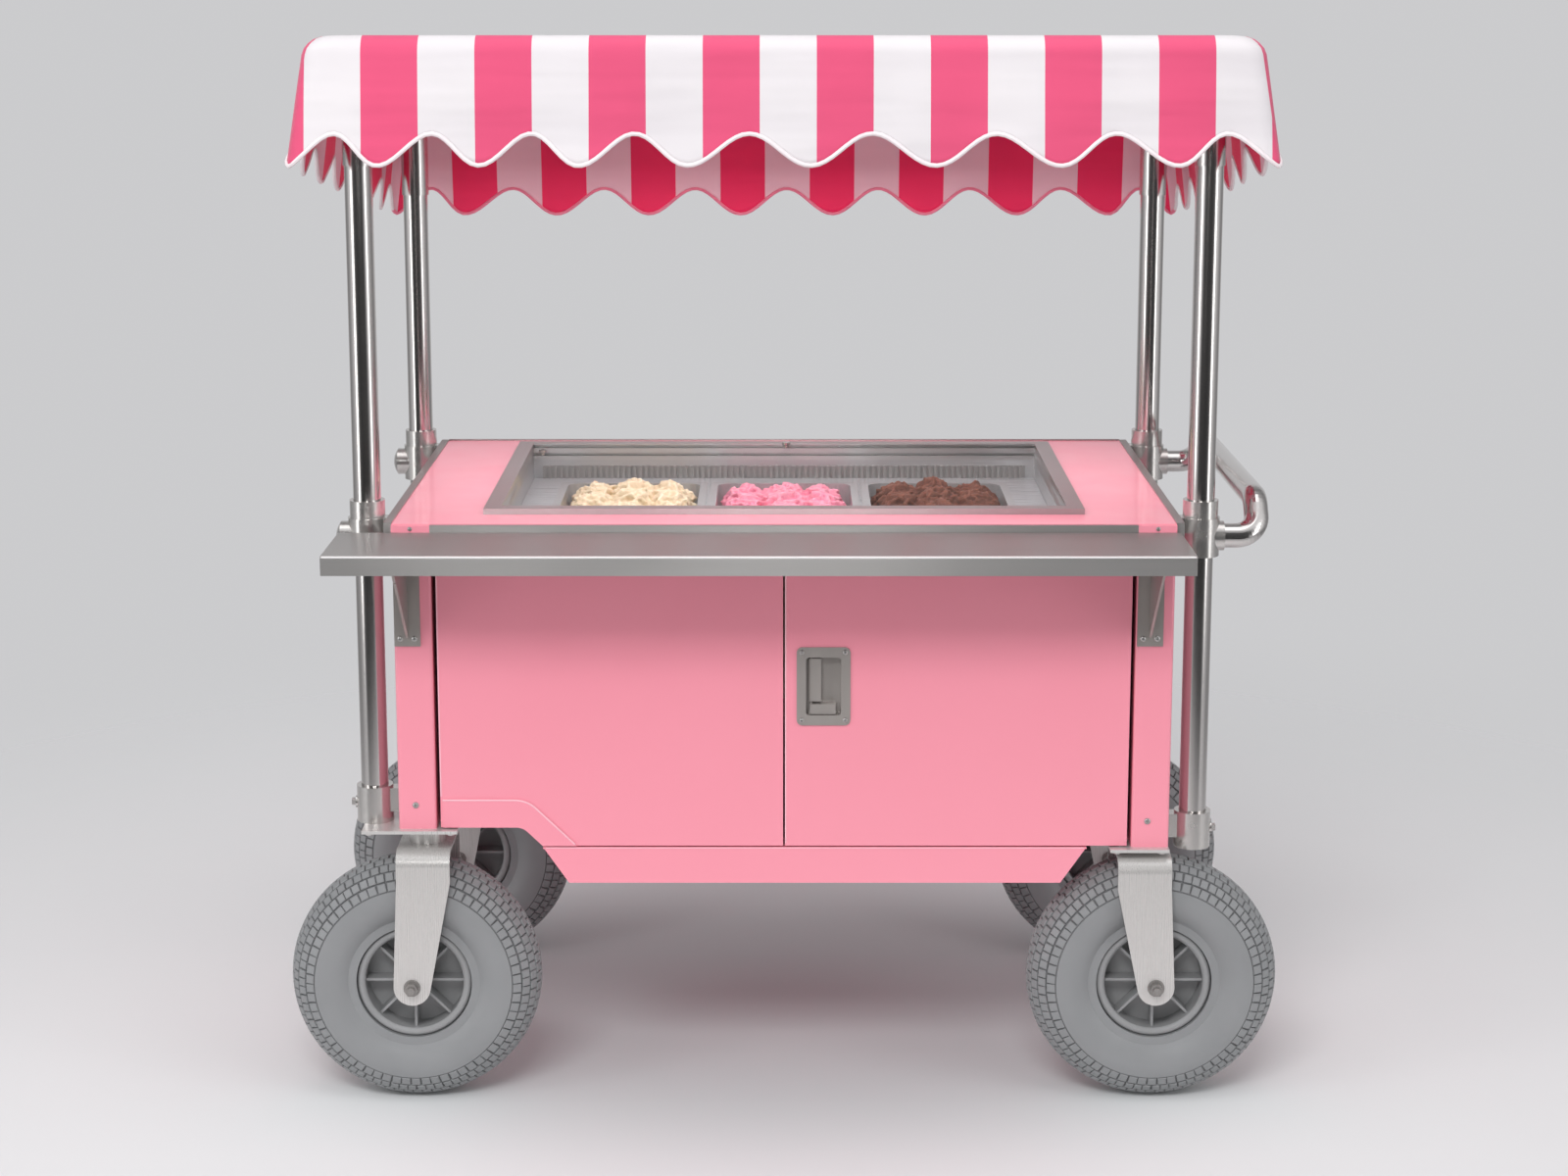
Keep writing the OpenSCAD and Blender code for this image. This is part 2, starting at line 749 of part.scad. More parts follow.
shoulder = 40;
frame_inset = canopy_flare + shoulder / 2 + rail_d / 2;
frame_x = canopy_w / 2 - frame_inset;
frame_y = canopy_d / 2 - frame_inset;
leg_sleeve_d = post_d + 4;
leg_sleeve_h = 155;

cross_rail_d = rail_d - 1;
rail_stub = rail_d / 2 - 2;
leg_crown = 2;

// Welded tubes under the cloth: a sloping rectangle, two cross rails and a sleeve over each post
module roof_frame() {
    tilt = atan(pitch);
    color(STEEL) difference() {
        union() {
            for (y = [-frame_y, -post_y, post_y, frame_y])
                translate([-frame_x, y, rail_z(y)]) rotate([0, 90, 0])
                    cylinder(d = cross_rail_d, h = 2 * frame_x);
            for (side = [-1, 1])
                translate([side * frame_x, -frame_y, rail_z(-frame_y)]) rotate([-90 - tilt, 0, 0])
                    translate([0, 0, -rail_stub]) cylinder(d = rail_d, h = 2 * (frame_y / cos(tilt) + rail_stub));
            for (side = [-1, 1], end = [-1, 1])
                translate([side * post_x, end * post_y, rail_z(end * post_y) - leg_sleeve_h])
                    cylinder(d = leg_sleeve_d, h = leg_sleeve_h + leg_crown);
        }
        for (side = [-1, 1], end = [-1, 1])
            translate([side * post_x, end * post_y, rail_z(end * post_y) - leg_sleeve_h - eps])
                cylinder(d = post_d + 2 * slip_fit, h = leg_sleeve_h - rail_d / 2 - leg_crown + 2 * eps);
    }
}

// Relative widths of the scallops along the front, left to right, and of those elsewhere
front_scallops = [135, 145, 143, 155, 176, 179, 179, 168, 152];
back_scallops = [123, 168, 168, 168, 168, 168, 168, 168, 133];
side_scallops = [for (i = [1:7]) 162];
scallop_steps = 5;

function total(list, i = 0) = i >= len(list) ? 0 : list[i] + total(list, i + 1);
function before(list, k) = k <= 0 ? 0 : list[k - 1] + before(list, k - 1);
// Stations along one edge, from 0 to 1, each with the lift of the hem above its low points
function stations(widths) = [for (k = [0:len(widths) - 1], j = [0:scallop_steps - 1])
    [(before(widths, k) + widths[k] * j / scallop_steps) / total(widths),
        scallop_h * (1 - cos(360 * j / scallop_steps)) / 2]];

// Hem points anticlockwise from the front left corner: side factors in X and Y, and lift
hem = concat(
    [for (s = stations(front_scallops)) [2 * s[0] - 1, -1, s[1]]],
    [for (s = stations(side_scallops)) [1, 2 * s[0] - 1, s[1]]],
    [for (s = stations(back_scallops)) [1 - 2 * s[0], 1, s[1]]],
    [for (s = stations(side_scallops)) [-1, 1 - 2 * s[0], s[1]]]);

function ring(inset, down, hem_share) = [for (p = hem)
    let (x = p[0] * (canopy_w / 2 - inset), y = p[1] * (canopy_d / 2 - inset))
    [x, y, roof_z(y) - down + p[2] * hem_share]];

// Lined cloth with rounded shoulders, flared valances and a scalloped hem, open below
module canopy() {
    n = len(hem);
    rings = [
        ring(0, valance_drop, 1),
        ring(canopy_flare * 0.4, shoulder, 0),
        ring(canopy_flare * 0.7, shoulder / 4, 0),
        ring(canopy_flare + shoulder / 2, 0, 0),
        ring(canopy_flare + shoulder / 2, cloth_t, 0),
        ring(canopy_flare * 0.4 + cloth_t, shoulder, 0),
        ring(cloth_t, valance_drop, 1)];
    m = len(rings);
    centre = [[0, 0, roof_z(0)], [0, 0, roof_z(0) - cloth_t]];
    function at(r, i) = r * n + i % n;
    bands = [for (r = [0:2], i = [0:n - 1]) each
        [[at(r, i), at(r + 1, i), at(r, i + 1)], [at(r, i + 1), at(r + 1, i), at(r + 1, i + 1)]]];
    inner = [for (r = [4:m - 2], i = [0:n - 1]) each
        [[at(r, i), at(r + 1, i), at(r, i + 1)], [at(r, i + 1), at(r + 1, i), at(r + 1, i + 1)]]];
    rim = [for (i = [0:n - 1]) each
        [[at(m - 1, i), at(0, i), at(m - 1, i + 1)], [at(m - 1, i + 1), at(0, i), at(0, i + 1)]]];
    caps = [for (i = [0:n - 1]) each
        [[at(3, i), m * n, at(3, i + 1)], [at(4, i + 1), m * n + 1, at(4, i)]]];
    color("#f0527c") polyhedron(concat([for (r = rings) each r], centre),
        concat(bands, inner, rim, caps));
}

// Casters

function crown_bottom(side) = wheel_d + (left(side) ? crown_gap_left : crown_gap_right);
plate_y = 70;
plate_in = 55;
king_head = 4;
plate_edge = 11;
plate_nut_d = 12;
plate_nut_h = 4;

// Top plates with their king pins: those at the left reach out under the post sockets
module caster_plates() {
    color(STEEL) for (side = [-1, 1], end = [-1, 1]) {
        top = side_bottom(side);
        outer = left(side) ? post_x + 14 : half_w;
        head_top = crown_bottom(side) - slide_gap;
        translate([left(side) ? -outer : caster_x - plate_in, end * caster_y - plate_y, top - plate_t])
            cube([outer - caster_x + plate_in, 2 * plate_y, plate_t]);
        translate([side * caster_x, end * caster_y, head_top - king_head]) {
            cylinder(d = king_d, h = top - head_top + king_head - plate_t / 2);
            cylinder(d = king_d + 10, h = king_head);
        }
        for (k = [-1, 1], x = [caster_x - plate_in + plate_edge, outer - plate_edge])
            translate([side * x, end * caster_y + k * (plate_y - plate_edge), top - plate_t - plate_nut_h])
                cylinder(d = plate_nut_d, h = plate_nut_h + plate_t / 2, $fn = 6);
    }
}

fork_half = tyre_w / 2 + fork_gap;
fork_bend = 20;
fork_shoulder = 30;
fork_foot_r = 29;
axle_hole = axle_d + 2 * slip_fit;

// Point where a line from p touches the circle round c, on the chosen side
function touch(p, c, r, hand) = let (v = p - c, a = atan2(v[1], v[0]) + hand * acos(r / norm(v)))
    c + r * [cos(a), sin(a)];

// Bent plate: a crown with two tapering legs, a neck above and the axle's holes below
module fork_plate(side) {
    low = axle_z - fork_foot_r;
    under = crown_bottom(side);
    top = under + fork_t;
    foot = [side * trail, axle_z];
    shoulder_z = top - fork_bend - fork_shoulder;
    neck_top = side_bottom(side) - plate_t - slide_gap;
    module arch(half, height, r) {
        translate([-half, low - eps]) square([2 * half, height - r - low + eps]);
        translate([-half + r, low - eps]) square([2 * half - 2 * r, height - low + eps]);
        for (x = [-1, 1]) translate([x * (half - r), height - r]) circle(r);
    }
    difference() {
        union() {
            intersection() {
                translate([-fork_w, 0, 0]) rotate([90, 0, 90]) linear_extrude(2 * fork_w) difference() {
                    arch(fork_half + fork_t, top, fork_bend + fork_t);
                    arch(fork_half, under, fork_bend);
                }
                stand_up(-fork_half - fork_t - eps, 2 * (fork_half + fork_t + eps)) {
                    translate(foot) circle(fork_foot_r);
                    polygon([foot, touch([-fork_w / 2, shoulder_z], foot, fork_foot_r, 1),
                        [-fork_w / 2, shoulder_z], [-fork_w / 2, top + eps], [fork_w / 2, top + eps],
                        [fork_w / 2, shoulder_z], touch([fork_w / 2, shoulder_z], foot, fork_foot_r, -1)]);
                }
            }
            translate([0, 0, top - eps]) cylinder(d = neck_d, h = neck_top - top + eps);
        }
        translate([0, 0, under - eps]) cylinder(d = king_d + 2 * run_fit, h = neck_top - under + 2 * eps);
        translate([foot[0], 0, axle_z]) rotate([90, 0, 0])
            cylinder(d = axle_hole, h = 4 * fork_half, center = true);
    }
}

washer_t = 2.5;
nut_h = 10;
bolt_end = 5;

// Bolt with a washer and a nut at each end, just clear of the fork
module axle_bolt(side) {
    face = fork_half + fork_t + slip_fit / 2;
    translate([side * trail, 0, axle_z]) rotate([90, 0, 0]) {
        cylinder(d = axle_d, h = 2 * (face + washer_t + nut_h + bolt_end), center = true);
        for (end = [-1, 1]) mirror([0, 0, end < 0 ? 1 : 0]) {
            translate([0, 0, face]) cylinder(d = axle_d * 2.2, h = washer_t);
            translate([0, 0, face + washer_t]) cylinder(d = axle_d * 1.8, h = nut_h, $fn = 6);
        }
    }
}

module fork(side, end) {
    color(STEEL) translate([side * caster_x, end * caster_y, 0]) {
        fork_plate(side);
        axle_bolt(side);
    }
}

module at_wheel(side, end) {
    translate([side * (caster_x + trail), end * caster_y, axle_z]) rotate([90, 0, 0]) children();
}

bead_r = rim_d / 2 - 6;
rim_w = tyre_w * 0.62;
hub_d = 46;
spokes = 8;
spoke_t = 4;
web_t = 6;
rim_wall = 7;

// Moulded rim: barrel with rolled flanges, web, hub and ribs on both faces
module rim(side, end) {
    hub_l = 2 * (fork_half - slide_gap);
    flange_r = rim_d / 2;
    color(GREY) at_wheel(side, end) difference() {
        union() {
            rotate_extrude() difference() {
                union() {
                    translate([0, -rim_w / 2]) square([bead_r, rim_w]);
                    for (y = [-1, 1]) translate([flange_r - 7, y * rim_w / 2]) circle(7);
                }
                for (y = [-1, 1]) translate([hub_d / 2, y > 0 ? web_t / 2 : -rim_w]) {
                    square([bead_r - rim_wall - hub_d / 2, rim_w - web_t / 2]);
                }
            }
            cylinder(d = hub_d, h = hub_l, center = true);
            for (i = [0:spokes - 1]) rotate(i * 360 / spokes)
                translate([hub_d / 2 - 2, -spoke_t / 2, -rim_w / 2 + 4])
                    cube([bead_r - rim_wall - hub_d / 2 + 4, spoke_t, rim_w - 8]);
        }
        cylinder(d = axle_d + 2 * run_fit, h = 2 * hub_l, center = true);
    }
}

groove_w = 3;
groove_depth = 2.5;

// Balloon tyre seated on the rim, with rings of tread grooves
module tyre(side, end) {
    r = tyre_w / 2;
    color("#85878a") at_wheel(side, end) rotate_extrude() difference() {
        translate([axle_z - r, 0]) circle(r);
        square([2 * (bead_r + seat_gap), 2 * r + 1], center = true);
        for (y = [-1, 1]) translate([rim_d / 2 - 7, y * rim_w / 2]) circle(7 + seat_gap);
        for (a = [-60, -36, -12, 12, 36, 60])
            translate([axle_z - r, 0]) rotate(a) translate([r - groove_depth, -groove_w / 2])
                square([groove_depth + 1, groove_w]);
    }
}

// Doors and latch

door_out = corner_in - door_side_gap;
pivot_x = door_out - pivot_inset;
pivot_y = -half_d + door_t / 2;
door_top = header_bottom - door_end_gap;

// Outline of a door seen from the front, drawn in by an inset on every side
module door_outline(side, inset) {
    low = body_bottom + door_end_gap + inset;
    high = door_top - inset;
    inner = door_gap / 2 + inset;
    outer = door_out - inset;
    step = left(side) ? arch_rise : 0;
    shift = inset * tan(arch_turn / 2);
    polygon([[side * inner, low], [side * inner, high], [side * outer, high], [side * outer, low + step],
        [left(side) ? arch_x1 + shift : side * outer, low + step],
        [left(side) ? arch_x2 + shift : side * outer, low]]);
    if (left(side)) shoulder_sliver([arch_x1 + shift, low + step], arch_r + inset);
}

// Folded pan with a pivot block in each outer corner
module door_pan(side) {
    pivot_block = 2 * pivot_inset;
    low = side_bottom(side) + door_end_gap;
    difference() {
        union() {
            difference() {
                stand_up(-half_d, door_t) door_outline(side, 0);
                stand_up(-half_d + sheet, door_t) door_outline(side, sheet);
            }
            for (z = [low, door_top - pivot_reach - sheet])
                translate([side * pivot_x - pivot_block / 2, -half_d, z])
                    cube([pivot_block, door_t, pivot_reach + sheet]);
        }
        for (z = [low - eps, door_top - pivot_reach - 1])
            translate([side * pivot_x, pivot_y, z])
                cylinder(d = pivot_d + 2 * run_fit, h = pivot_reach + 1 + eps);
    }
}

module door_left() {
    band_low = body_bottom + door_end_gap;
    band_out = door_out - band_t - 1;
    band_run = arch_band * 1.2;
    band_knee = [arch_x2 + band_run - (arch_rise + arch_band) / tan(arch_turn), band_low + arch_rise + arch_band];
    color(PINK) {
        door_pan(-1);
        stand_up(-half_d - band_t, band_t + eps) difference() {
            union() {
                polygon([[-band_out, band_low + arch_rise], [arch_x1, band_low + arch_rise], [arch_x2, band_low],
                    [arch_x2 + band_run, band_low], band_knee, [-band_out, band_knee[1]]]);
                shoulder_sliver([arch_x1, band_low + arch_rise], arch_r);
            }
            shoulder_sliver(band_knee, arch_r + arch_band / 2);
        }
    }
}

module door_right() {
    color(PINK) difference() {
        door_pan(1);
        translate([latch_x, 0, latch_z]) stand_up(-half_d - eps, sheet + 2 * eps)
            round_rect(recess_w + 2 * latch_wall + 2 * slip_fit, recess_h + 2 * latch_wall + 2 * slip_fit, 8);
    }
}

// Pins on the casters' plates below and in the header above
module door_pins() {
    color(STEEL) for (side = [-1, 1]) {
        translate([side * pivot_x, pivot_y, side_bottom(side)])
            cylinder(d = pivot_d, h = door_end_gap + pivot_reach - 1);
        translate([side * pivot_x, pivot_y, door_top - pivot_reach + 1])
            cylinder(d = pivot_d, h = door_end_gap + pivot_reach - 1);
    }
}

latch_wall = 2;
latch_flange = 2.5;
latch_pin_d = 4;
paddle_t = 9;
paddle_x = -recess_w / 2 + 8;
paddle_y = -half_d + 3;
paddle_top = recess_h / 2 - 3;
paddle_bottom = paddle_top - paddle_h;
stop_h = 16;
stop_w = 40;

// Pressed dish with a flange, the paddle's pin and the stop bar under the paddle
module latch_dish() {
    color(STEEL) translate([latch_x, 0, latch_z]) {
        difference() {
            union() {
                stand_up(-half_d - latch_flange, latch_flange) round_rect(latch_w, latch_h, 9);
                stand_up(-half_d - eps, recess_d + latch_wall + eps)
                    round_rect(recess_w + 2 * latch_wall, recess_h + 2 * latch_wall, 7);
            }
            stand_up(-half_d - latch_flange - eps, latch_flange + recess_d + eps)
                round_rect(recess_w, recess_h, 5);
        }
        translate([paddle_x - 2, -half_d + 1, -recess_h / 2 + 1])
            cube([stop_w, recess_d - 1 + eps, stop_h]);
        translate([paddle_x, paddle_y + paddle_t / 2, -recess_h / 2 + stop_h])
            cylinder(d = latch_pin_d, h = recess_h - stop_h + eps);
    }
}

// Grip bar that swings out on its pin
module latch_paddle() {
    color(STEEL) translate([latch_x + paddle_x, paddle_y + paddle_t / 2, latch_z + paddle_bottom]) difference() {
        union() {
            translate([0, -paddle_t / 2, 0]) cube([paddle_w - paddle_t / 2, paddle_t, paddle_h]);
            cylinder(d = paddle_t, h = paddle_h);
        }
        translate([0, 0, -eps]) cylinder(d = latch_pin_d + 2 * run_fit, h = paddle_h + 2 * eps);
    }
}

cabinet_floor();
side_panel(-1);  // side_panel_left
side_panel(1);  // side_panel_right
back_panel();
corner_post(-1);  // corner_post_left
corner_post(1);  // corner_post_right
front_header();
plinth();
worktop();
worktop_trim();
lid_track();
well_liner();
well_jacket();
cold_plates();
well_fins();
pan_rack();
pan(-1);  // pan_left
pan(0);  // pan_middle
pan(1);  // pan_right
scoops(-1);  // scoops_left
scoops(0);  // scoops_middle
scoops(1);  // scoops_right
shelf();
shelf_bracket(-1);  // shelf_bracket_left
shelf_bracket(1);  // shelf_bracket_right
post(-1, -1);  // post_front_left
post(1, -1);  // post_front_right
post(-1, 1);  // post_back_left
post(1, 1);  // post_back_right
collar(-1, -1);  // collar_front_left
collar(1, -1);  // collar_front_right
collar(-1, 1);  // collar_back_left
collar(1, 1);  // collar_back_right
post_sockets();
collar_caps();
handle();
roof_frame();
canopy();
caster_plates();
door_pins();
door_left();
door_right();
latch_dish();
latch_paddle();
lid(-1);  // lid_left
lid(1);  // lid_right
lid_knob(-1);  // lid_knob_left
lid_knob(1);  // lid_knob_right
fork(-1, -1);  // fork_front_left
fork(1, -1);  // fork_front_right
fork(-1, 1);  // fork_back_left
fork(1, 1);  // fork_back_right
rim(-1, -1);  // rim_front_left
rim(1, -1);  // rim_front_right
rim(-1, 1);  // rim_back_left
rim(1, 1);  // rim_back_right
tyre(-1, -1);  // tyre_front_left
tyre(1, -1);  // tyre_front_right
tyre(-1, 1);  // tyre_back_left
tyre(1, 1);  // tyre_back_right
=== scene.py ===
# %% [markdown]
# # Ice cream push cart
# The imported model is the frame: every solid is already in its place, in metres, with the
# origin on the ground under the middle of the cart. This lesson dresses that frame. Steel
# and paint keep their solids and get better finishes, and the cloth, the ice cream and the
# tyres are modelled again as what they are.

# %% Load the frame
import bpy
import bmesh
import math
from mathutils import Matrix, Vector, noise


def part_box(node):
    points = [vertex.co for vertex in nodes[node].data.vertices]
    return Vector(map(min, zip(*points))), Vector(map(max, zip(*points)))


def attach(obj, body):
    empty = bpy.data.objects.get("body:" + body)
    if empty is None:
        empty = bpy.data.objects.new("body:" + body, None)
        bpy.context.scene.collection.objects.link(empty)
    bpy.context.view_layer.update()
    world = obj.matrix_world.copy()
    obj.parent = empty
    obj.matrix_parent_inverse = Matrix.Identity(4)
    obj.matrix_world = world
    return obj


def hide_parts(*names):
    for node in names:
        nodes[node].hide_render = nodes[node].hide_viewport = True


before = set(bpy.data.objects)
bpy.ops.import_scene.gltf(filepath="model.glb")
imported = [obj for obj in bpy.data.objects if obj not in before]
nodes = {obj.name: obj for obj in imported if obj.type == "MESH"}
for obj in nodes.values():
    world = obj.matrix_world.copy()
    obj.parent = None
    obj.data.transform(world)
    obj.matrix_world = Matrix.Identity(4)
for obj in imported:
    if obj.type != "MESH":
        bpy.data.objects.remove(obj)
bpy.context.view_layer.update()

# %% [markdown]
# ## Camera
# The photograph looks at the front of the cart from a little above the worktop's height,
# from about four and a half metres away. A long lens keeps the cabinet square. The camera
# tilts down, and a small shift takes up what is left. The focal length was measured in
# pixels of a picture that is 1600 pixels wide.

# %% Camera
FOCAL_PX = 2889.9
FRAME_PX = 1600.0
SENSOR = 36.0
EYE = (0.0, -4.621, 1.787)
TILT = 0.18694
SHIFT = -0.06
scene = bpy.context.scene
scene.view_settings.view_transform = "Standard"
view = bpy.data.cameras.new("view")
view.sensor_width = SENSOR
view.lens = FOCAL_PX / FRAME_PX * SENSOR
view.shift_y = SHIFT
camera = bpy.data.objects.new("camera", view)
camera.location = EYE
camera.rotation_euler = (math.pi / 2 - TILT, 0.0, 0.0)
scene.collection.objects.link(camera)
scene.camera = camera
print("lens", round(view.lens, 1), "mm")

# %% [markdown]
# ## Node helpers
# A finish is a small tree of nodes that ends in one Principled shader. Helpers keep the trees
# short. They add a node and set its sockets, give a noise that can be stretched into brush
# marks, map a value to another range, mix two colours, and turn a height into a bump. The Mix
# node has a set of sockets for each type of data, so those for colour are named by number.

# %% Node helpers
MIX_FACTOR = 0
MIX_A = 6
MIX_B = 7
MIX_COLOR = 2
NOISE_LOW = 0.3
NOISE_HIGH = 0.7


def add_node(tree, kind, sockets=None, **settings):
    node = tree.nodes.new(kind)
    for key, value in settings.items():
        setattr(node, key, value)
    for key, value in (sockets or {}).items():
        node.inputs[key].default_value = value
    return node


def new_finish(name, color, roughness, metallic=0.0):
    finish = bpy.data.materials.new(name)
    finish.use_nodes = True
    shader = finish.node_tree.nodes["Principled BSDF"]
    shader.inputs["Base Color"].default_value = (*color, 1.0)
    shader.inputs["Roughness"].default_value = roughness
    shader.inputs["Metallic"].default_value = metallic
    finish.diffuse_color = (*color, 1.0)
    return finish, finish.node_tree, shader


def grain(tree, stretch, detail):
    place = add_node(tree, "ShaderNodeTexCoord")
    mapping = add_node(tree, "ShaderNodeMapping", {"Scale": stretch})
    speckle = add_node(tree, "ShaderNodeTexNoise", {"Scale": 1.0, "Detail": detail})
    tree.links.new(place.outputs["Object"], mapping.inputs["Vector"])
    tree.links.new(mapping.outputs["Vector"], speckle.inputs["Vector"])
    return speckle.outputs["Fac"]


def remap(tree, value, start, end, low, high, ease="LINEAR"):
    limits = {"From Min": start, "From Max": end, "To Min": low, "To Max": high}
    span = add_node(tree, "ShaderNodeMapRange", limits, interpolation_type=ease)
    tree.links.new(value, span.inputs["Value"])
    return span.outputs["Result"]


def spread(tree, value, low, high):
    return remap(tree, value, NOISE_LOW, NOISE_HIGH, low, high)


def tint(tree, factor, dark, light):
    mix = add_node(tree, "ShaderNodeMix", data_type="RGBA")
    mix.inputs[MIX_A].default_value = (*dark, 1.0)
    mix.inputs[MIX_B].default_value = (*light, 1.0)
    tree.links.new(factor, mix.inputs[MIX_FACTOR])
    return mix.outputs[MIX_COLOR]


def multiply(tree, first, second):
    mix = add_node(tree, "ShaderNodeMix", data_type="RGBA", blend_type="MULTIPLY")
    mix.inputs[MIX_FACTOR].default_value = 1.0
    tree.links.new(first, mix.inputs[MIX_A])
    tree.links.new(second, mix.inputs[MIX_B])
    return mix.outputs[MIX_COLOR]


def raise_bump(tree, shader, height, strength, distance):
    bump = add_node(tree, "ShaderNodeBump", {"Strength": strength, "Distance": distance})
    tree.links.new(height, bump.inputs["Height"])
    tree.links.new(bump.outputs["Normal"], shader.inputs["Normal"])


print("node helpers ready")

# %% [markdown]
# Most finishes need the same three things: a drift in tone, patches of more and less gloss, and
# a fine texture of the surface. Each of them is an even noise at its own scale.

# %% Surface helpers
def mottle(tree, shader, scale, detail, dark, light):
    tone = grain(tree, (scale, scale, scale), detail)
    tree.links.new(tint(tree, tone, dark, light), shader.inputs["Base Color"])


def vary_gloss(tree, shader, scale, detail, low, high):
    patches = grain(tree, (scale, scale, scale), detail)
    tree.links.new(spread(tree, patches, low, high), shader.inputs["Roughness"])


def pebble(tree, shader, scale, detail, strength, distance):
    raise_bump(tree, shader, grain(tree, (scale, scale, scale), detail), strength, distance)


print("surface helpers ready")

# %% [markdown]
# ## Enamel
# The cabinet is sheet steel sprayed with a warm pink gloss. Paint like this has a very
# soft orange peel, a clear gloss over the colour and a faint drift in tone from panel to
# panel, so the tree holds a slow noise for the colour and a fine one for the surface.

# %% Pink enamel
pink_enamel, tree, shader = new_finish("pink_enamel", (0.87, 0.27, 0.34), 0.34)
mottle(tree, shader, 1.6, 2.0, (0.86, 0.285, 0.365), (0.89, 0.315, 0.40))
vary_gloss(tree, shader, 9.0, 5.0, 0.28, 0.40)
shader.inputs["Coat Weight"].default_value = 0.35
shader.inputs["Coat Roughness"].default_value = 0.12
pebble(tree, shader, 420.0, 2.0, 0.05, 0.0004)
print("pink enamel")

# %% [markdown]
# ## Brushed steel
# The shelf, posts, collars, forks and trims are stainless steel. Most of it is brushed in one
# direction, and noise that is stretched a hundredfold along the brushing gives the marks. The
# direction differs by piece: along Z on the posts, along Y on the handle and along X on the
# strips further down. Cast pieces have an even grain instead.

# %% Brushed steel
def brushed_steel(name, stretch, color=(0.66, 0.635, 0.62), low=0.20, high=0.36, depth=0.03, metal=1.0):
    finish, tree, shader = new_finish(name, color, 0.28, metal)
    marks = grain(tree, stretch, 4.0)
    dark = tuple(c * 0.95 for c in color)
    light = tuple(min(1.0, c * 1.04) for c in color)
    tree.links.new(tint(tree, marks, dark, light), shader.inputs["Base Color"])
    smear = grain(tree, (5.0, 5.0, 5.0), 4.0)
    blend = add_node(tree, "ShaderNodeMath", operation="ADD")
    tree.links.new(spread(tree, marks, low, high), blend.inputs[0])
    tree.links.new(spread(tree, smear, -0.02, 0.03), blend.inputs[1])
    tree.links.new(blend.outputs[0], shader.inputs["Roughness"])
    if depth:
        raise_bump(tree, shader, marks, depth, 0.0003)
    return finish


steel_y = brushed_steel("steel_brushed_y", (900.0, 3.0, 900.0), low=0.14, high=0.18, depth=0.0)
steel_z = brushed_steel("steel_brushed_z", (900.0, 900.0, 3.0), low=0.14, high=0.18, depth=0.0)
steel_cast = brushed_steel("steel_cast", (60.0, 60.0, 60.0), (0.64, 0.62, 0.60), 0.20, 0.27, 0.0, 0.9)
steel_latch = brushed_steel("steel_latch", (60.0, 60.0, 9.0), (0.40, 0.37, 0.35), 0.28, 0.36, 0.0, 0.45)
steel_rack = brushed_steel("steel_rack", (9.0, 900.0, 900.0), (0.52, 0.535, 0.55), 0.26, 0.36, 0.0, 0.5)
steel_plate = brushed_steel("steel_plate", (1500.0, 1500.0, 9.0), (0.66, 0.645, 0.63), 0.26, 0.36, metal=0.45)
steel_sheet = brushed_steel("steel_satin_sheet", (6.0, 900.0, 900.0), (0.47, 0.475, 0.48), 0.28, 0.38,
                            0.02, 0.45)
print("steel finishes: 7")

# %% [markdown]
# The forks are of similar plate, and their axle bolts are part of them. The bolts are of a
# darker steel, so the finish turns darker within 13 mm of the axle. The four axles lie at the
# same distance from the middle, so one place, mirrored, finds them all.

# %% Fork steel
BOLT_REACH = 0.0134
BOLT_COLOR = (0.27, 0.255, 0.245, 1.0)
steel_fork = brushed_steel("steel_fork", (1500.0, 1500.0, 9.0), (0.60, 0.585, 0.57), 0.24, 0.34, 0.02, 0.45)
tree = steel_fork.node_tree
shader = tree.nodes["Principled BSDF"]
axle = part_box("tyre_front_right")
axle_x = (axle[0][0] + axle[1][0]) / 2
axle_z = (axle[0][2] + axle[1][2]) / 2
place = add_node(tree, "ShaderNodeTexCoord")
level = add_node(tree, "ShaderNodeVectorMath", operation="MULTIPLY")
level.inputs[1].default_value = (1.0, 0.0, 1.0)
mirror = add_node(tree, "ShaderNodeVectorMath", operation="ABSOLUTE")
off = add_node(tree, "ShaderNodeVectorMath", operation="DISTANCE")
off.inputs[1].default_value = (axle_x, 0.0, axle_z)
tree.links.new(place.outputs["Object"], level.inputs[0])
tree.links.new(level.outputs[0], mirror.inputs[0])
tree.links.new(mirror.outputs[0], off.inputs[0])
bolt = add_node(tree, "ShaderNodeMath", operation="LESS_THAN")
bolt.inputs[1].default_value = BOLT_REACH
tree.links.new(off.outputs["Value"], bolt.inputs[0])
plain = shader.inputs["Base Color"].links[0].from_socket
blend = add_node(tree, "ShaderNodeMix", data_type="RGBA")
blend.inputs[MIX_B].default_value = BOLT_COLOR
tree.links.new(bolt.outputs[0], blend.inputs[MIX_FACTOR])
tree.links.new(plain, blend.inputs[MIX_A])
tree.links.new(blend.outputs[MIX_COLOR], shader.inputs["Base Color"])
print("axle of the forks at", round(axle_x, 3), round(axle_z, 3))
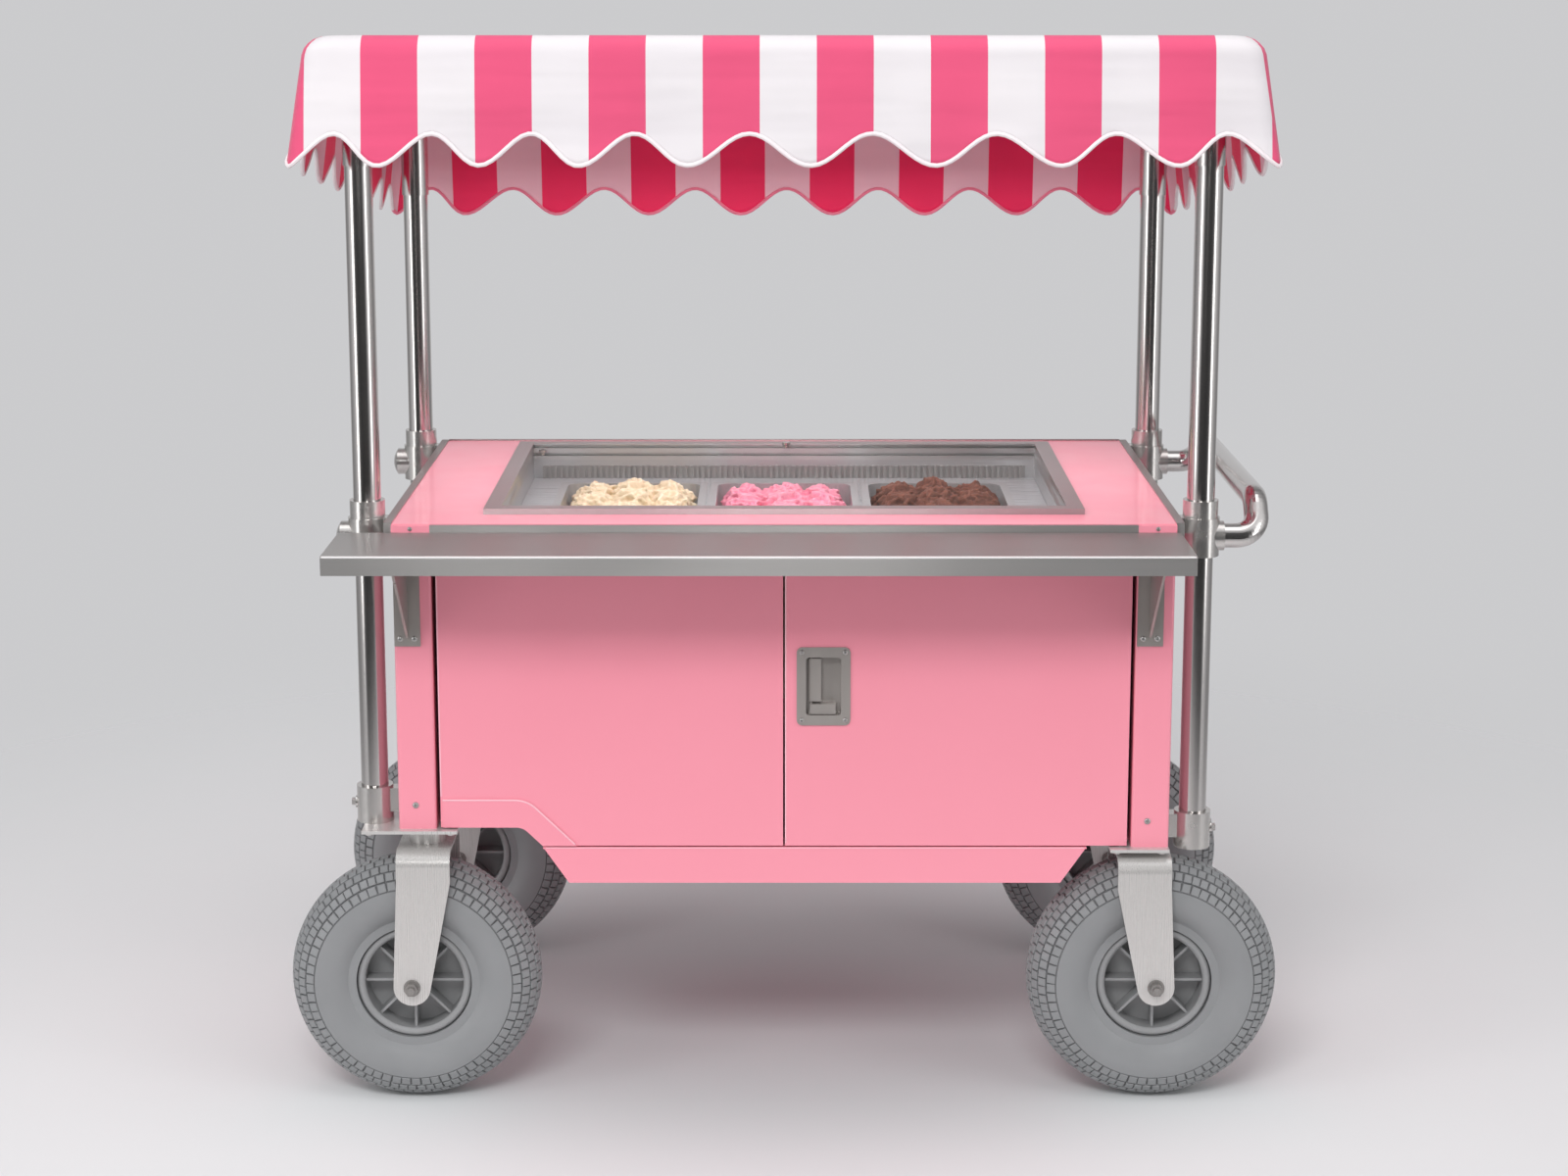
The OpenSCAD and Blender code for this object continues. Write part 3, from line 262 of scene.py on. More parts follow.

# %% [markdown]
# The shelf, the nosing and the lid track are long strips of sheet, brushed along their length.
# Brush lines along X spread a reflection across them, so each lamp is drawn out into an upright
# pillar of light. The shader does that with its anisotropy, about a tangent that turns round X.
# The fold along the front of the shelf has a finish of its own, paler and without the spread, so that it
# shows as a painted highlight.

# %% Strip steel
def strip_steel(name, color, metal):
    finish = brushed_steel(name, (9.0, 2600.0, 2600.0), color, 0.30, 0.38, 0.02, metal)
    tree = finish.node_tree
    shader = tree.nodes["Principled BSDF"]
    shader.inputs["Anisotropic"].default_value = 0.95
    across = add_node(tree, "ShaderNodeTangent", direction_type="RADIAL", axis="X")
    tree.links.new(across.outputs["Tangent"], shader.inputs["Tangent"])
    return finish


steel_x = strip_steel("steel_brushed_x", (0.44, 0.43, 0.42), 0.75)
steel_track = strip_steel("steel_track", (0.52, 0.515, 0.51), 0.75)
# painted highlight: the fold along the shelf's front is a paler, less metallic steel, so it reads as a bright
# line
painted_highlight_steel = brushed_steel("painted_highlight_steel", (9.0, 900.0, 900.0), (0.86, 0.85, 0.84), 0.30, 0.40, 0.0, 0.3)
print("strip finishes: 3")

# %% [markdown]
# ## Moulded plastic, glass and foam
# The rims are grey moulded plastic with a fine spark-eroded texture. The lids are clear
# float glass. The foam, the cold tanks and the fins are hardly seen, but they show
# when a lid or a door is open, so each has its own grain.

# %% Plastic, glass and foam
rim_plastic, tree, shader = new_finish("rim_plastic", (0.22, 0.222, 0.226), 0.42)
vary_gloss(tree, shader, 60.0, 4.0, 0.34, 0.50)
mottle(tree, shader, 14.0, 3.0, (0.24, 0.242, 0.246), (0.30, 0.302, 0.306))
pebble(tree, shader, 900.0, 2.0, 0.12, 0.0003)

lid_glass, tree, shader = new_finish("lid_glass", (0.90, 0.95, 0.94), 0.03, 1.0)
shader.inputs["Alpha"].default_value = 0.022
vary_gloss(tree, shader, 18.0, 5.0, 0.02, 0.07)

rigid_foam, tree, shader = new_finish("rigid_foam", (0.72, 0.66, 0.50), 0.85)
mottle(tree, shader, 240.0, 6.0, (0.62, 0.56, 0.42), (0.78, 0.72, 0.56))
pebble(tree, shader, 320.0, 6.0, 0.5, 0.001)

cold_tank, tree, shader = new_finish("cold_tank", (0.34, 0.40, 0.46), 0.5)
mottle(tree, shader, 30.0, 5.0, (0.30, 0.36, 0.42), (0.46, 0.52, 0.57))
pebble(tree, shader, 500.0, 2.0, 0.2, 0.0004)

fin_metal = brushed_steel("fin_metal", (200.0, 200.0, 5.0), (0.34, 0.33, 0.32), 0.32, 0.5, metal=0.4)
print("rim, glass, foam, tank and fin finishes")

# %% [markdown]
# ## Dress the solids
# Each solid takes its finish from two lists: first by the start of its name, for what comes in
# fours, and then by its whole name. What is in neither is steel brushed along Z.

# %% Dress the solids
by_start = [(steel_fork, "fork_"), (steel_cast, "collar_"), (rim_plastic, "rim_")]
by_name = [
    (pink_enamel, ["cabinet_floor", "side_panel_left", "side_panel_right", "back_panel", "corner_post_left",
                   "corner_post_right", "front_header", "plinth", "worktop", "door_left", "door_right"]),
    (steel_cast, ["post_sockets", "lid_knob_left", "lid_knob_right", "door_pins"]),
    (steel_latch, ["shelf_bracket_left", "shelf_bracket_right", "latch_dish", "latch_paddle"]),
    (steel_sheet, ["well_liner", "pan_left", "pan_middle", "pan_right"]),
    (steel_x, ["shelf", "worktop_trim"]),
    (steel_y, ["handle"]),
    (steel_plate, ["caster_plates"]),
    (steel_rack, ["pan_rack"]),
    (steel_track, ["lid_track"]),
    (lid_glass, ["lid_left", "lid_right"]),
    (rigid_foam, ["well_jacket"]),
    (cold_tank, ["cold_plates"]),
    (fin_metal, ["well_fins"]),
]
dress = {name: steel_z for name in nodes}
for finish, start in by_start:
    dress.update({name: finish for name in nodes if name.startswith(start)})
for finish, names in by_name:
    dress.update({name: finish for name in names})
for name, finish in dress.items():
    nodes[name].data.materials.clear()
    nodes[name].data.materials.append(finish)
print("solids dressed:", len(dress))

# %% [markdown]
# ## Making a piece
# Every new piece is a bmesh that is written to one object at the origin. The helper gives
# it a finish, smooths it up to a given angle, and lets it ride on its body. A second helper
# gives the two corners of a solid's box, from which new pieces take their places.

# %% Piece helpers
def make_piece(name, bm, finishes, body, sharp=40.0):
    mesh = bpy.data.meshes.new(name)
    bm.to_mesh(mesh)
    bm.free()
    piece = bpy.data.objects.new(name, mesh)
    scene.collection.objects.link(piece)
    for finish in finishes:
        mesh.materials.append(finish)
    mesh.polygons.foreach_set("use_smooth", [True] * len(mesh.polygons))
    if sharp:
        mesh.set_sharp_from_angle(angle=math.radians(sharp))
    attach(piece, body)
    return piece


def box_of(node):
    low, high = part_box(node)
    return Vector(low), Vector(high)


print("piece helpers ready")

# %% [markdown]
# ## Canopy cloth
# The canopy is one striped cloth over the roof frame. It falls from front to back, rounds
# over its edges and hangs down all round in a valance with a scalloped hem. A flat grid is
# laid out like the cut cloth, and each of its points is then carried to where it hangs. The
# stripes are on a UV map in metres, so that they run over the roof and down both falls, and
# turn along the sides. The widths of the scallops are shares of an edge, and only their
# proportions count.

# %% Cloth measures
HEM_X = 0.716
HEM_Y = 0.566
ROOF_X = 0.690
ROOF_Y = 0.540
ROOF_TOP = 1.687
PITCH = 0.168 / (2.0 * HEM_Y)
DROP = 0.191
SCALLOP = 0.046
SHOULDER = 0.030
front_widths = [135, 145, 143, 155, 176, 179, 179, 168, 152]
back_widths = [123, 168, 168, 168, 168, 168, 168, 168, 133]
side_widths = [162] * 7


def roof_height(y):
    return ROOF_TOP - (y + HEM_Y) * PITCH


def hem_lift(widths, share):
    place = min(max(share, 0.0), 1.0) * sum(widths)
    for width in widths:
        if place <= width:
            return SCALLOP * 0.5 * (1.0 - math.cos(2.0 * math.pi * place / width))
        place -= width
    return 0.0


print("front scallops:", len(front_widths))

# %% [markdown]
# A valance is a strip of the grid: one side runs along the roof's edge, the other along the
# hem. Its section starts flat on the roof, turns over a small radius and leans outwards. The
# strip wavers a little more towards the hem, as hung cloth does.

# %% Cloth panels
ROWS = 22
CORNER_R = 0.030
WAVE = 0.011
WAVE_REST = 0.004
CREASE = 0.0022


def fall(down_share, drop):
    arc = SHOULDER * math.pi / 2
    run = down_share * (arc + drop - SHOULDER)
    if run < arc:
        turn = run / SHOULDER
        return SHOULDER * math.sin(turn), SHOULDER * (1.0 - math.cos(turn))
    return SHOULDER, SHOULDER + run - arc


def soften(spot, reach_x, reach_y):
    over_x = abs(spot.x) - (reach_x - CORNER_R)
    over_y = abs(spot.y) - (reach_y - CORNER_R)
    if over_x > 0 and over_y > 0:
        pull = max(over_x, over_y) / math.hypot(over_x, over_y)
        spot.x = math.copysign(reach_x - CORNER_R + over_x * pull, spot.x)
        spot.y = math.copysign(reach_y - CORNER_R + over_y * pull, spot.y)
    return spot


def hang(edge, share, down_share):
    widths = {"front": front_widths, "back": back_widths}.get(edge, side_widths)
    drop = DROP - hem_lift(widths, share)
    out, down = fall(down_share, drop)
    lean = (HEM_X - ROOF_X) * max(0.0, down - SHOULDER * 0.4) / (DROP - SHOULDER * 0.4)
    reach_x = ROOF_X - SHOULDER + out + lean
    reach_y = ROOF_Y - SHOULDER + out + lean
    along = 2.0 * share - 1.0
    if edge == "front":
        spot = Vector((along * reach_x, -reach_y, 0.0))
        outward = Vector((0.0, -1.0, 0.0))
    elif edge == "back":
        spot = Vector((-along * reach_x, reach_y, 0.0))
        outward = Vector((0.0, 1.0, 0.0))
    elif edge == "right":
        spot = Vector((reach_x, along * reach_y, 0.0))
        outward = Vector((1.0, 0.0, 0.0))
    else:
        spot = Vector((-reach_x, -along * reach_y, 0.0))
        outward = Vector((-1.0, 0.0, 0.0))
    spot = soften(spot, reach_x, reach_y)
    spot.z = roof_height(spot.y) - down
    inner = 1.0 - abs(along) ** 8
    free = down_share * down_share * inner
    wave = noise.noise(Vector((spot.x * 7.0, spot.y * 7.0, 0.3))) * WAVE
    crease = noise.noise(Vector((spot.x * 22.0, spot.y * 22.0, spot.z * 9.0))) * CREASE
    return spot + outward * ((wave - WAVE_REST) * free + crease * min(1.0, 3.0 * down_share) * inner)


def panel_grid(bm, uv, columns, rows, where, stripe):
    made = bmesh.ops.create_grid(bm, x_segments=columns, y_segments=rows, size=0.5)["verts"]
    shares = {v: (v.co.x + 0.5, v.co.y + 0.5) for v in made}
    faces = {f for v in made for f in v.link_faces}
    for face in faces:
        for loop in face.loops:
            loop[uv].uv = stripe(*shares[loop.vert])
    for v, (a, b) in shares.items():
        v.co = where(a, b)


print("rows in a valance:", ROWS)

# %% [markdown]
# The cloth is woven in two colours. The stripes come from the UV map: its first coordinate is
# counted in pairs of stripes, and the second half of each pair is white. A slow noise fades
# the dye, a stretched one draws shallow creases and darkens their valleys as painted shade, and
# two crossed waves give the weave. The inside gets deeper colours, painted light: the look that
# cloth has when it is seen against the light.

# %% Cloth finish
STRIPE = 0.0813
FIRST = 0.6037
THREADS = 240.0


def weave(tree, chart, direction):
    threads = add_node(tree, "ShaderNodeTexWave", {"Scale": THREADS, "Distortion": 0.6},
                       bands_direction=direction)
    tree.links.new(chart.outputs["UV"], threads.inputs["Vector"])
    return threads.outputs["Fac"]


def striped(tree, chart, pink, white):
    split = add_node(tree, "ShaderNodeSeparateXYZ")
    tree.links.new(chart.outputs["UV"], split.inputs["Vector"])
    count = add_node(tree, "ShaderNodeMath", operation="DIVIDE")
    count.inputs[1].default_value = 2.0 * STRIPE
    part = add_node(tree, "ShaderNodeMath", operation="FRACT")
    over = add_node(tree, "ShaderNodeMath", operation="GREATER_THAN")
    over.inputs[1].default_value = 0.5
    tree.links.new(split.outputs["X"], count.inputs[0])
    tree.links.new(count.outputs[0], part.inputs[0])
    tree.links.new(part.outputs[0], over.inputs[0])
    fade = grain(tree, (5.0, 5.0, 5.0), 3.0)
    dyed = tint(tree, fade, tuple(c * 0.95 for c in pink), tuple(min(1.0, c * 1.04) for c in pink))
    plain = tint(tree, fade, tuple(c * 0.97 for c in white), white)
    stripes = add_node(tree, "ShaderNodeMix", data_type="RGBA")
    tree.links.new(over.outputs[0], stripes.inputs[MIX_FACTOR])
    tree.links.new(dyed, stripes.inputs[MIX_A])
    tree.links.new(plain, stripes.inputs[MIX_B])
    return stripes.outputs[MIX_COLOR]


def cloth_finish(name, pink, white, sheen):
    finish, tree, shader = new_finish(name, pink, 0.62)
    chart = add_node(tree, "ShaderNodeUVMap", uv_map="cut")
    crease = grain(tree, (2.2, 2.2, 16.0), 2.0)
    # painted shade: the colour is darker in the valleys of the same crease noise that bumps the folds
    painted_crease_shade = tint(tree, crease, (0.84, 0.83, 0.85), (1.0, 1.0, 1.0))
    tree.links.new(multiply(tree, striped(tree, chart, pink, white), painted_crease_shade), shader.inputs["Base Color"])
    crossed = add_node(tree, "ShaderNodeMath", operation="MULTIPLY")
    tree.links.new(weave(tree, chart, "X"), crossed.inputs[0])
    tree.links.new(weave(tree, chart, "Y"), crossed.inputs[1])
    folds = add_node(tree, "ShaderNodeMath", operation="MULTIPLY_ADD")
    folds.inputs[1].default_value = 0.02
    tree.links.new(crossed.outputs[0], folds.inputs[0])
    tree.links.new(crease, folds.inputs[2])
    raise_bump(tree, shader, folds.outputs[0], 0.6, 0.012)
    shader.inputs["Sheen Weight"].default_value = sheen
    shader.inputs["Sheen Roughness"].default_value = 0.4
    return finish


cloth_outside = cloth_finish("cloth_outside", (0.80, 0.088, 0.206), (0.82, 0.785, 0.80), 0.25)
# painted light: the inside colours are the look of the cloth seen against the light, deeper and darker than
# the outside
cloth_inside = cloth_finish("cloth_inside", (0.94, 0.022, 0.125), (0.93, 0.60, 0.68), 0.1)
print("cloth finishes: 2, stripes", STRIPE, "m wide")

# %% [markdown]
# The roof itself lies on the rails and sags between them by a few millimetres. Where the
# panels meet, their points fall together and are merged, so the cloth is one sheet. A solidify
# modifier then gives it its thickness, with the inside colours on the lower face.

# %% Canopy cloth
COLUMNS = 144
DEEP = 112
RAIL_Y = 0.33
SAG = 0.006
RIPPLE = 0.0012
SIDE_FALL = 0.21
CLOTH_THICKNESS = 0.0016


def lay_roof(a, b):
    x = (2.0 * a - 1.0) * (ROOF_X - SHOULDER)
    y = (2.0 * b - 1.0) * (ROOF_Y - SHOULDER)
    bays = abs(math.sin(math.pi * (y + RAIL_Y) / (2.0 * RAIL_Y))) if abs(y) < RAIL_Y else 0.0
    sag = SAG * bays * (1.0 - abs(2.0 * a - 1.0) ** 4)
    ripple = RIPPLE * noise.noise(Vector((x * 9.0, y * 9.0, 1.0)))
    edge = (1.0 - abs(2.0 * a - 1.0) ** 12) * (1.0 - abs(2.0 * b - 1.0) ** 12)
    spot = soften(Vector((x, y, 0.0)), ROOF_X - SHOULDER, ROOF_Y - SHOULDER)
    spot.z = roof_height(spot.y) - sag + ripple * edge
    return spot


def roof_stripe(a, b):
    return ((2.0 * a - 1.0) * ROOF_X + FIRST, b * 2.0 * ROOF_Y)


def along_end(edge, a, b):
    spot = hang(edge, a, b)
    return (spot.x + FIRST, spot.z)


def along_side(a, b):
    return (a * 2.0 * HEM_Y, b * SIDE_FALL)


bm = bmesh.new()
uv = bm.loops.layers.uv.new("cut")
panel_grid(bm, uv, COLUMNS, DEEP, lay_roof, roof_stripe)
panel_grid(bm, uv, COLUMNS, ROWS, lambda a, b: hang("front", a, b), lambda a, b: along_end("front", a, b))
panel_grid(bm, uv, COLUMNS, ROWS, lambda a, b: hang("back", a, b), lambda a, b: along_end("back", a, b))
panel_grid(bm, uv, DEEP, ROWS, lambda a, b: hang("right", a, b), along_side)
panel_grid(bm, uv, DEEP, ROWS, lambda a, b: hang("left", a, b), lambda a, b: along_side(1.0 - a, b))
bmesh.ops.remove_doubles(bm, verts=bm.verts, dist=0.0006)
bmesh.ops.recalc_face_normals(bm, faces=bm.faces)
top = max(bm.faces, key=lambda f: f.calc_center_median().z)
if top.normal.z < 0:
    bmesh.ops.reverse_faces(bm, faces=bm.faces)
loose = [e for e in bm.edges if len(e.link_faces) == 1]
hem_left = set(loose)
start = min(loose, key=lambda e: e.verts[0].co.x + e.verts[0].co.y)
hem_line = [start.verts[0], start.verts[1]]
hem_left.discard(start)
while True:
    follow = [e for e in hem_line[-1].link_edges if e in hem_left]
    if not follow:
        break
    hem_left.discard(follow[0])
    hem_line.append(follow[0].other_vert(hem_line[-1]))
hem_points = [v.co.copy() for v in hem_line[:-1]]
cloth_area = sum(f.calc_area() for f in bm.faces)
canopy = make_piece("canopy_cloth", bm, [cloth_outside, cloth_inside], "cart", 0)
thick = canopy.modifiers.new("thickness", "SOLIDIFY")
thick.thickness = CLOTH_THICKNESS
thick.offset = -1.0
thick.material_offset = 1
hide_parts("canopy")
print("cloth area", round(cloth_area, 3), "m2, hem points", len(hem_points), "left over", len(hem_left))

# %% [markdown]
# ## Piping
# The hem is bound with a round piping. A small ring is carried along the hem, and the rings
# are bridged one to the next, which gives a smooth cord. It is white at the front and the
# sides and pink at the back, so it is made as two pieces.

# %% Piping
PIPING_R = 0.0032


def piping_finish(name, color, dark, light):
    finish, tree, shader = new_finish(name, color, 0.5)
    mottle(tree, shader, 90.0, 3.0, dark, light)
    pebble(tree, shader, 600.0, 2.0, 0.3, 0.0004)
    return finish


def sweep(bm, points, radius, sides=8):
    rings = []
    for i, spot in enumerate(points):
        before = points[max(i - 1, 0)]
        after = points[min(i + 1, len(points) - 1)]
        turn = (after - before).to_track_quat("Z", "Y").to_matrix().to_4x4()
        ring = bmesh.ops.create_circle(bm, segments=sides, radius=radius,
                                       matrix=Matrix.Translation(spot) @ turn, cap_ends=False)["verts"]
        rings.append(list({e for v in ring for e in v.link_edges}))
    for a, b in zip(rings, rings[1:]):
        bmesh.ops.bridge_loops(bm, edges=a + b)
    bmesh.ops.holes_fill(bm, edges=rings[0] + rings[-1], sides=sides)
    bmesh.ops.recalc_face_normals(bm, faces=bm.faces)


def is_back(spot):
    return spot.y > HEM_Y - 0.03


piping_white = piping_finish("piping_white", (0.86, 0.78, 0.80), (0.80, 0.70, 0.73), (0.88, 0.83, 0.84))
piping_pink = piping_finish("piping_pink", (0.84, 0.22, 0.33), (0.78, 0.17, 0.28), (0.88, 0.28, 0.39))
count = len(hem_points)
first = next(i for i in range(count) if is_back(hem_points[i]) and not is_back(hem_points[i - 1]))
turned = [hem_points[(first + i) % count] for i in range(count)]
back_run = [p for p in turned if is_back(p)]
other_run = [back_run[-1]] + [p for p in turned if not is_back(p)] + [back_run[0]]
bm = bmesh.new()
sweep(bm, back_run, PIPING_R)
piping_back = make_piece("piping_back", bm, [piping_pink], "cart")
bm = bmesh.new()
sweep(bm, other_run, PIPING_R)
piping_front = make_piece("piping_front_and_sides", bm, [piping_white], "cart")
print("piping points", len(back_run), len(other_run))

# %% [markdown]

print("canopy cloth and piping made")

# %% [markdown]
# ## Ice cream
# Ice cream is dull and a little translucent. Its colour swirls, and the creases between the
# folds are painted darker, as painted shade. They are found by the pointiness of the mesh, so
# they follow the scoops that are made further down.

# %% Ice cream finishes
def frozen(name, dark, light, rough):
    finish, tree, shader = new_finish(name, light, rough)
    swirl = grain(tree, (38.0, 38.0, 90.0), 6.0)
    form = add_node(tree, "ShaderNodeNewGeometry")
    fold = remap(tree, form.outputs["Pointiness"], 0.43, 0.55, 0.0, 1.0)
    # painted shade: the colour in the creases between the folds is darkened, as if shaded
    crease = tuple((deep / pale) ** 1.5 * 0.85 for deep, pale in zip(dark, light))
    shade = tint(tree, fold, crease, (1.0, 1.0, 1.0))
    tree.links.new(multiply(tree, tint(tree, swirl, dark, light), shade), shader.inputs["Base Color"])
    vary_gloss(tree, shader, 120.0, 4.0, rough - 0.12, rough + 0.1)
    raise_bump(tree, shader, grain(tree, (170.0, 170.0, 420.0), 8.0), 0.85, 0.0022)
    shader.inputs["Subsurface Weight"].default_value = 0.25
    shader.inputs["Subsurface Radius"].default_value = (0.006, 0.004, 0.003)
    return finish


vanilla = frozen("vanilla", (0.80, 0.66, 0.45), (0.90, 0.80, 0.63), 0.45)
strawberry = frozen("strawberry", (0.86, 0.28, 0.40), (0.93, 0.46, 0.55), 0.42)
chocolate = frozen("chocolate", (0.15, 0.055, 0.033), (0.27, 0.105, 0.064), 0.5)
print("flavours: 3")

# %% [markdown]
# Each pan holds scoops that have sunk into each other. A round ball is pushed about by a
# noise with sharp folds, the way a scoop tears the surface, and then the balls and the bed
# under them are fused by a voxel remesh, so that the creases between them come out soft. The
# rows rise a little towards the back.

# %% Scoops
SCOOP_R = 0.047
SCOOP_COLUMNS = 3
ROW_LIFTS = (-0.006, 0.0, 0.005, 0.010, 0.012)
SIDE_GAP = 0.002
BED_DEPTH = 0.052
BED_CORNER = 0.024
VOXEL = 0.0025


def scoop_ball(bm, spot, size, seed):
    ball = bmesh.ops.create_icosphere(bm, subdivisions=5, radius=size)["verts"]
    tilt = Matrix.Rotation(seed * 1.7, 3, "Z") @ Matrix.Rotation(0.5 + 0.3 * math.sin(seed * 2.3), 3, "X")
    for v in ball:
        way = v.co.normalized()
        lie = tilt @ way
        ridge = abs(noise.noise(Vector((lie.x * 1.6, lie.y * 1.6, lie.z * 6.0)) + Vector((seed, 0.0, 0.0))))
        tear = abs(noise.noise(Vector((lie.x * 4.0, lie.y * 4.0, lie.z * 11.0)) + Vector((0.0, seed, 0.0))))
        lump = noise.noise(way * 1.7 + Vector((0.0, seed * 3.1, 0.0)))
        fine = noise.noise(way * 8.0 + Vector((0.0, 0.0, seed)))
        v.co = spot + way * (size * (1.06 - 0.42 * ridge - 0.26 * tear + 0.12 * lump + 0.07 * fine))


def pan_bed(bm, low, high):
    middle = (low + high) / 2
    bed_top = high.z - BED_DEPTH
    for v in bmesh.ops.create_cube(bm, size=1.0)["verts"]:
        v.co = Vector((middle.x + v.co.x * (high.x - low.x), middle.y + v.co.y * (high.y - low.y),
                       low.z + (v.co.z + 0.5) * (bed_top - low.z)))
    upright = [e for e in bm.edges if abs(e.verts[0].co.z - e.verts[1].co.z) > 0.01]
    bmesh.ops.bevel(bm, geom=upright, offset=BED_CORNER, segments=5, profile=0.5, affect="EDGES", material=-1)


def lay_scoops(bm, low, high, seed):
    rows = len(ROW_LIFTS)
    step_x = (high.x - low.x - 2 * SCOOP_R - 2 * SIDE_GAP) / (SCOOP_COLUMNS - 1)
    step_y = (high.y - low.y - 2 * SCOOP_R - 2 * SIDE_GAP) / (rows - 1)
    for i in range(SCOOP_COLUMNS):
        from_middle = abs(i - (SCOOP_COLUMNS - 1) / 2)
        for j in range(rows):
            n = seed + i * 7.0 + j * 3.0
            shift = 0.010 * math.sin(n * 1.9) if 0 < j < rows - 1 else 0.0
            x = low.x + SIDE_GAP + SCOOP_R + i * step_x
            y = low.y + SIDE_GAP + SCOOP_R + j * step_y + shift
            z = high.z - SCOOP_R + ROW_LIFTS[j] + 0.004 * math.sin(n * 2.7) - 0.006 * from_middle
            scoop_ball(bm, Vector((x, y, z)), SCOOP_R * (0.97 + 0.05 * math.sin(n)), n)


def fuse_scoops(name, bm):
    apart = bpy.data.meshes.new(name + "_loose")
    bm.to_mesh(apart)
    bm.free()
    mould = bpy.data.objects.new(name + "_mould", apart)
    scene.collection.objects.link(mould)
    fuse = mould.modifiers.new("fuse", "REMESH")
    fuse.mode = "VOXEL"
    fuse.voxel_size = VOXEL
    relax = mould.modifiers.new("relax", "SMOOTH")
    relax.factor = 0.3
    relax.iterations = 1
    graph = bpy.context.evaluated_depsgraph_get()
    whole = bpy.data.meshes.new_from_object(mould.evaluated_get(graph))
    bpy.data.objects.remove(mould)
    return whole


def fill_pan(side, finish, seed):
    name = "ice_cream_" + side
    node = "scoops_" + side
    low, high = box_of(node)
    bm = bmesh.new()
    pan_bed(bm, low, high)
    lay_scoops(bm, low, high, seed)
    whole = fuse_scoops(name, bm)
    bm = bmesh.new()
    bm.from_mesh(whole)
    piece = make_piece(name, bm, [finish], "cart", 0)
    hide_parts(node)
    return piece


fillings = [
    fill_pan("left", vanilla, 1.0),
    fill_pan("middle", strawberry, 4.0),
    fill_pan("right", chocolate, 8.0),
]
print("faces in each pan:", [len(p.data.polygons) for p in fillings])

# %% [markdown]
# ## Balloon tyres
# The tyres are grey rubber with a fat round section. Rubber is never quite even, so its tone
# and its gloss drift. The bottom of the tread is darker than the blocks, as painted shade.

# %% Rubber finish
def rubber(name, dark, light):
    finish, tree, shader = new_finish(name, light, 0.62)
    mottle(tree, shader, 11.0, 5.0, dark, light)
    vary_gloss(tree, shader, 40.0, 4.0, 0.36, 0.50)
    pebble(tree, shader, 700.0, 3.0, 0.10, 0.0003)
    return finish


tyre_rubber = rubber("tyre_rubber", (0.215, 0.220, 0.226), (0.265, 0.270, 0.276))
# painted shade: the rubber between the tread blocks is the same rubber, only darker
painted_groove_shade_rubber = rubber("painted_groove_shade_rubber", (0.11, 0.112, 0.116), (0.15, 0.152, 0.156))
print("rubber finishes: 2")

# %% [markdown]
# The sidewall is smooth, and the tread is a field of low rectangular blocks that wraps far down
# the shoulder. The casing is a section that is spun round the axle. One small bevelled block is
# then copied in staggered rows over it.

# %% Tyres
TREAD = 0.0030
REACH = math.radians(74.0)
TREAD_ROWS = 9
RIM_SEAT = 0.0912
SECTION_STEPS = 48
SECTION_SWEEP = 256.0


def casing(bm, centre, radius, section):
    points = []
    for k in range(SECTION_STEPS + 1):
        angle = math.radians(-SECTION_SWEEP / 2 + SECTION_SWEEP * k / SECTION_STEPS)
        size = section - TREAD * (1.0 if abs(angle) < REACH else 0.0)
        points.append(Vector((0.0, size * math.sin(angle), radius - section + size * math.cos(angle))))
    points = [p for p in points if p.z > RIM_SEAT]
    points = [Vector((0.0, points[0].y, RIM_SEAT))] + points + [Vector((0.0, points[-1].y, RIM_SEAT))]
    line = [bm.verts.new(p) for p in points]
    edges = [bm.edges.new((a, b)) for a, b in zip(line, line[1:] + line[:1])]
    bmesh.ops.spin(bm, geom=line + edges, cent=(0, 0, 0), axis=(0, 1, 0), angle=math.tau, steps=96,
                   use_merge=True)
    bmesh.ops.remove_doubles(bm, verts=bm.verts, dist=0.00001)
    bmesh.ops.recalc_face_normals(bm, faces=bm.faces)
    for face in bm.faces:
        spot = face.calc_center_median()
        lean = math.atan2(spot.y, math.hypot(spot.x, spot.z) - radius + section)
        face.material_index = 1 if abs(lean) < REACH else 0
    bmesh.ops.translate(bm, verts=bm.verts, vec=centre)


def tread_block(bm, place, length, width):
    base = bmesh.ops.create_cube(bm, size=1.0)["verts"]
    bmesh.ops.scale(bm, verts=base, vec=(length, width, 2.0 * TREAD))
    upper = [v for v in base if v.co.z > 0]
    bmesh.ops.scale(bm, verts=upper, vec=(0.94, 0.93, 1.0))
    crown = [e for e in {e for v in upper for e in v.link_edges} if all(v in upper for v in e.verts)]
    made = bmesh.ops.bevel(bm, geom=crown, offset=0.0008, segments=1, profile=0.5, affect="EDGES",
                           material=-1)
    whole = [v for v in set(base) | set(made["verts"]) if v.is_valid]
    bmesh.ops.transform(bm, matrix=place, verts=whole)


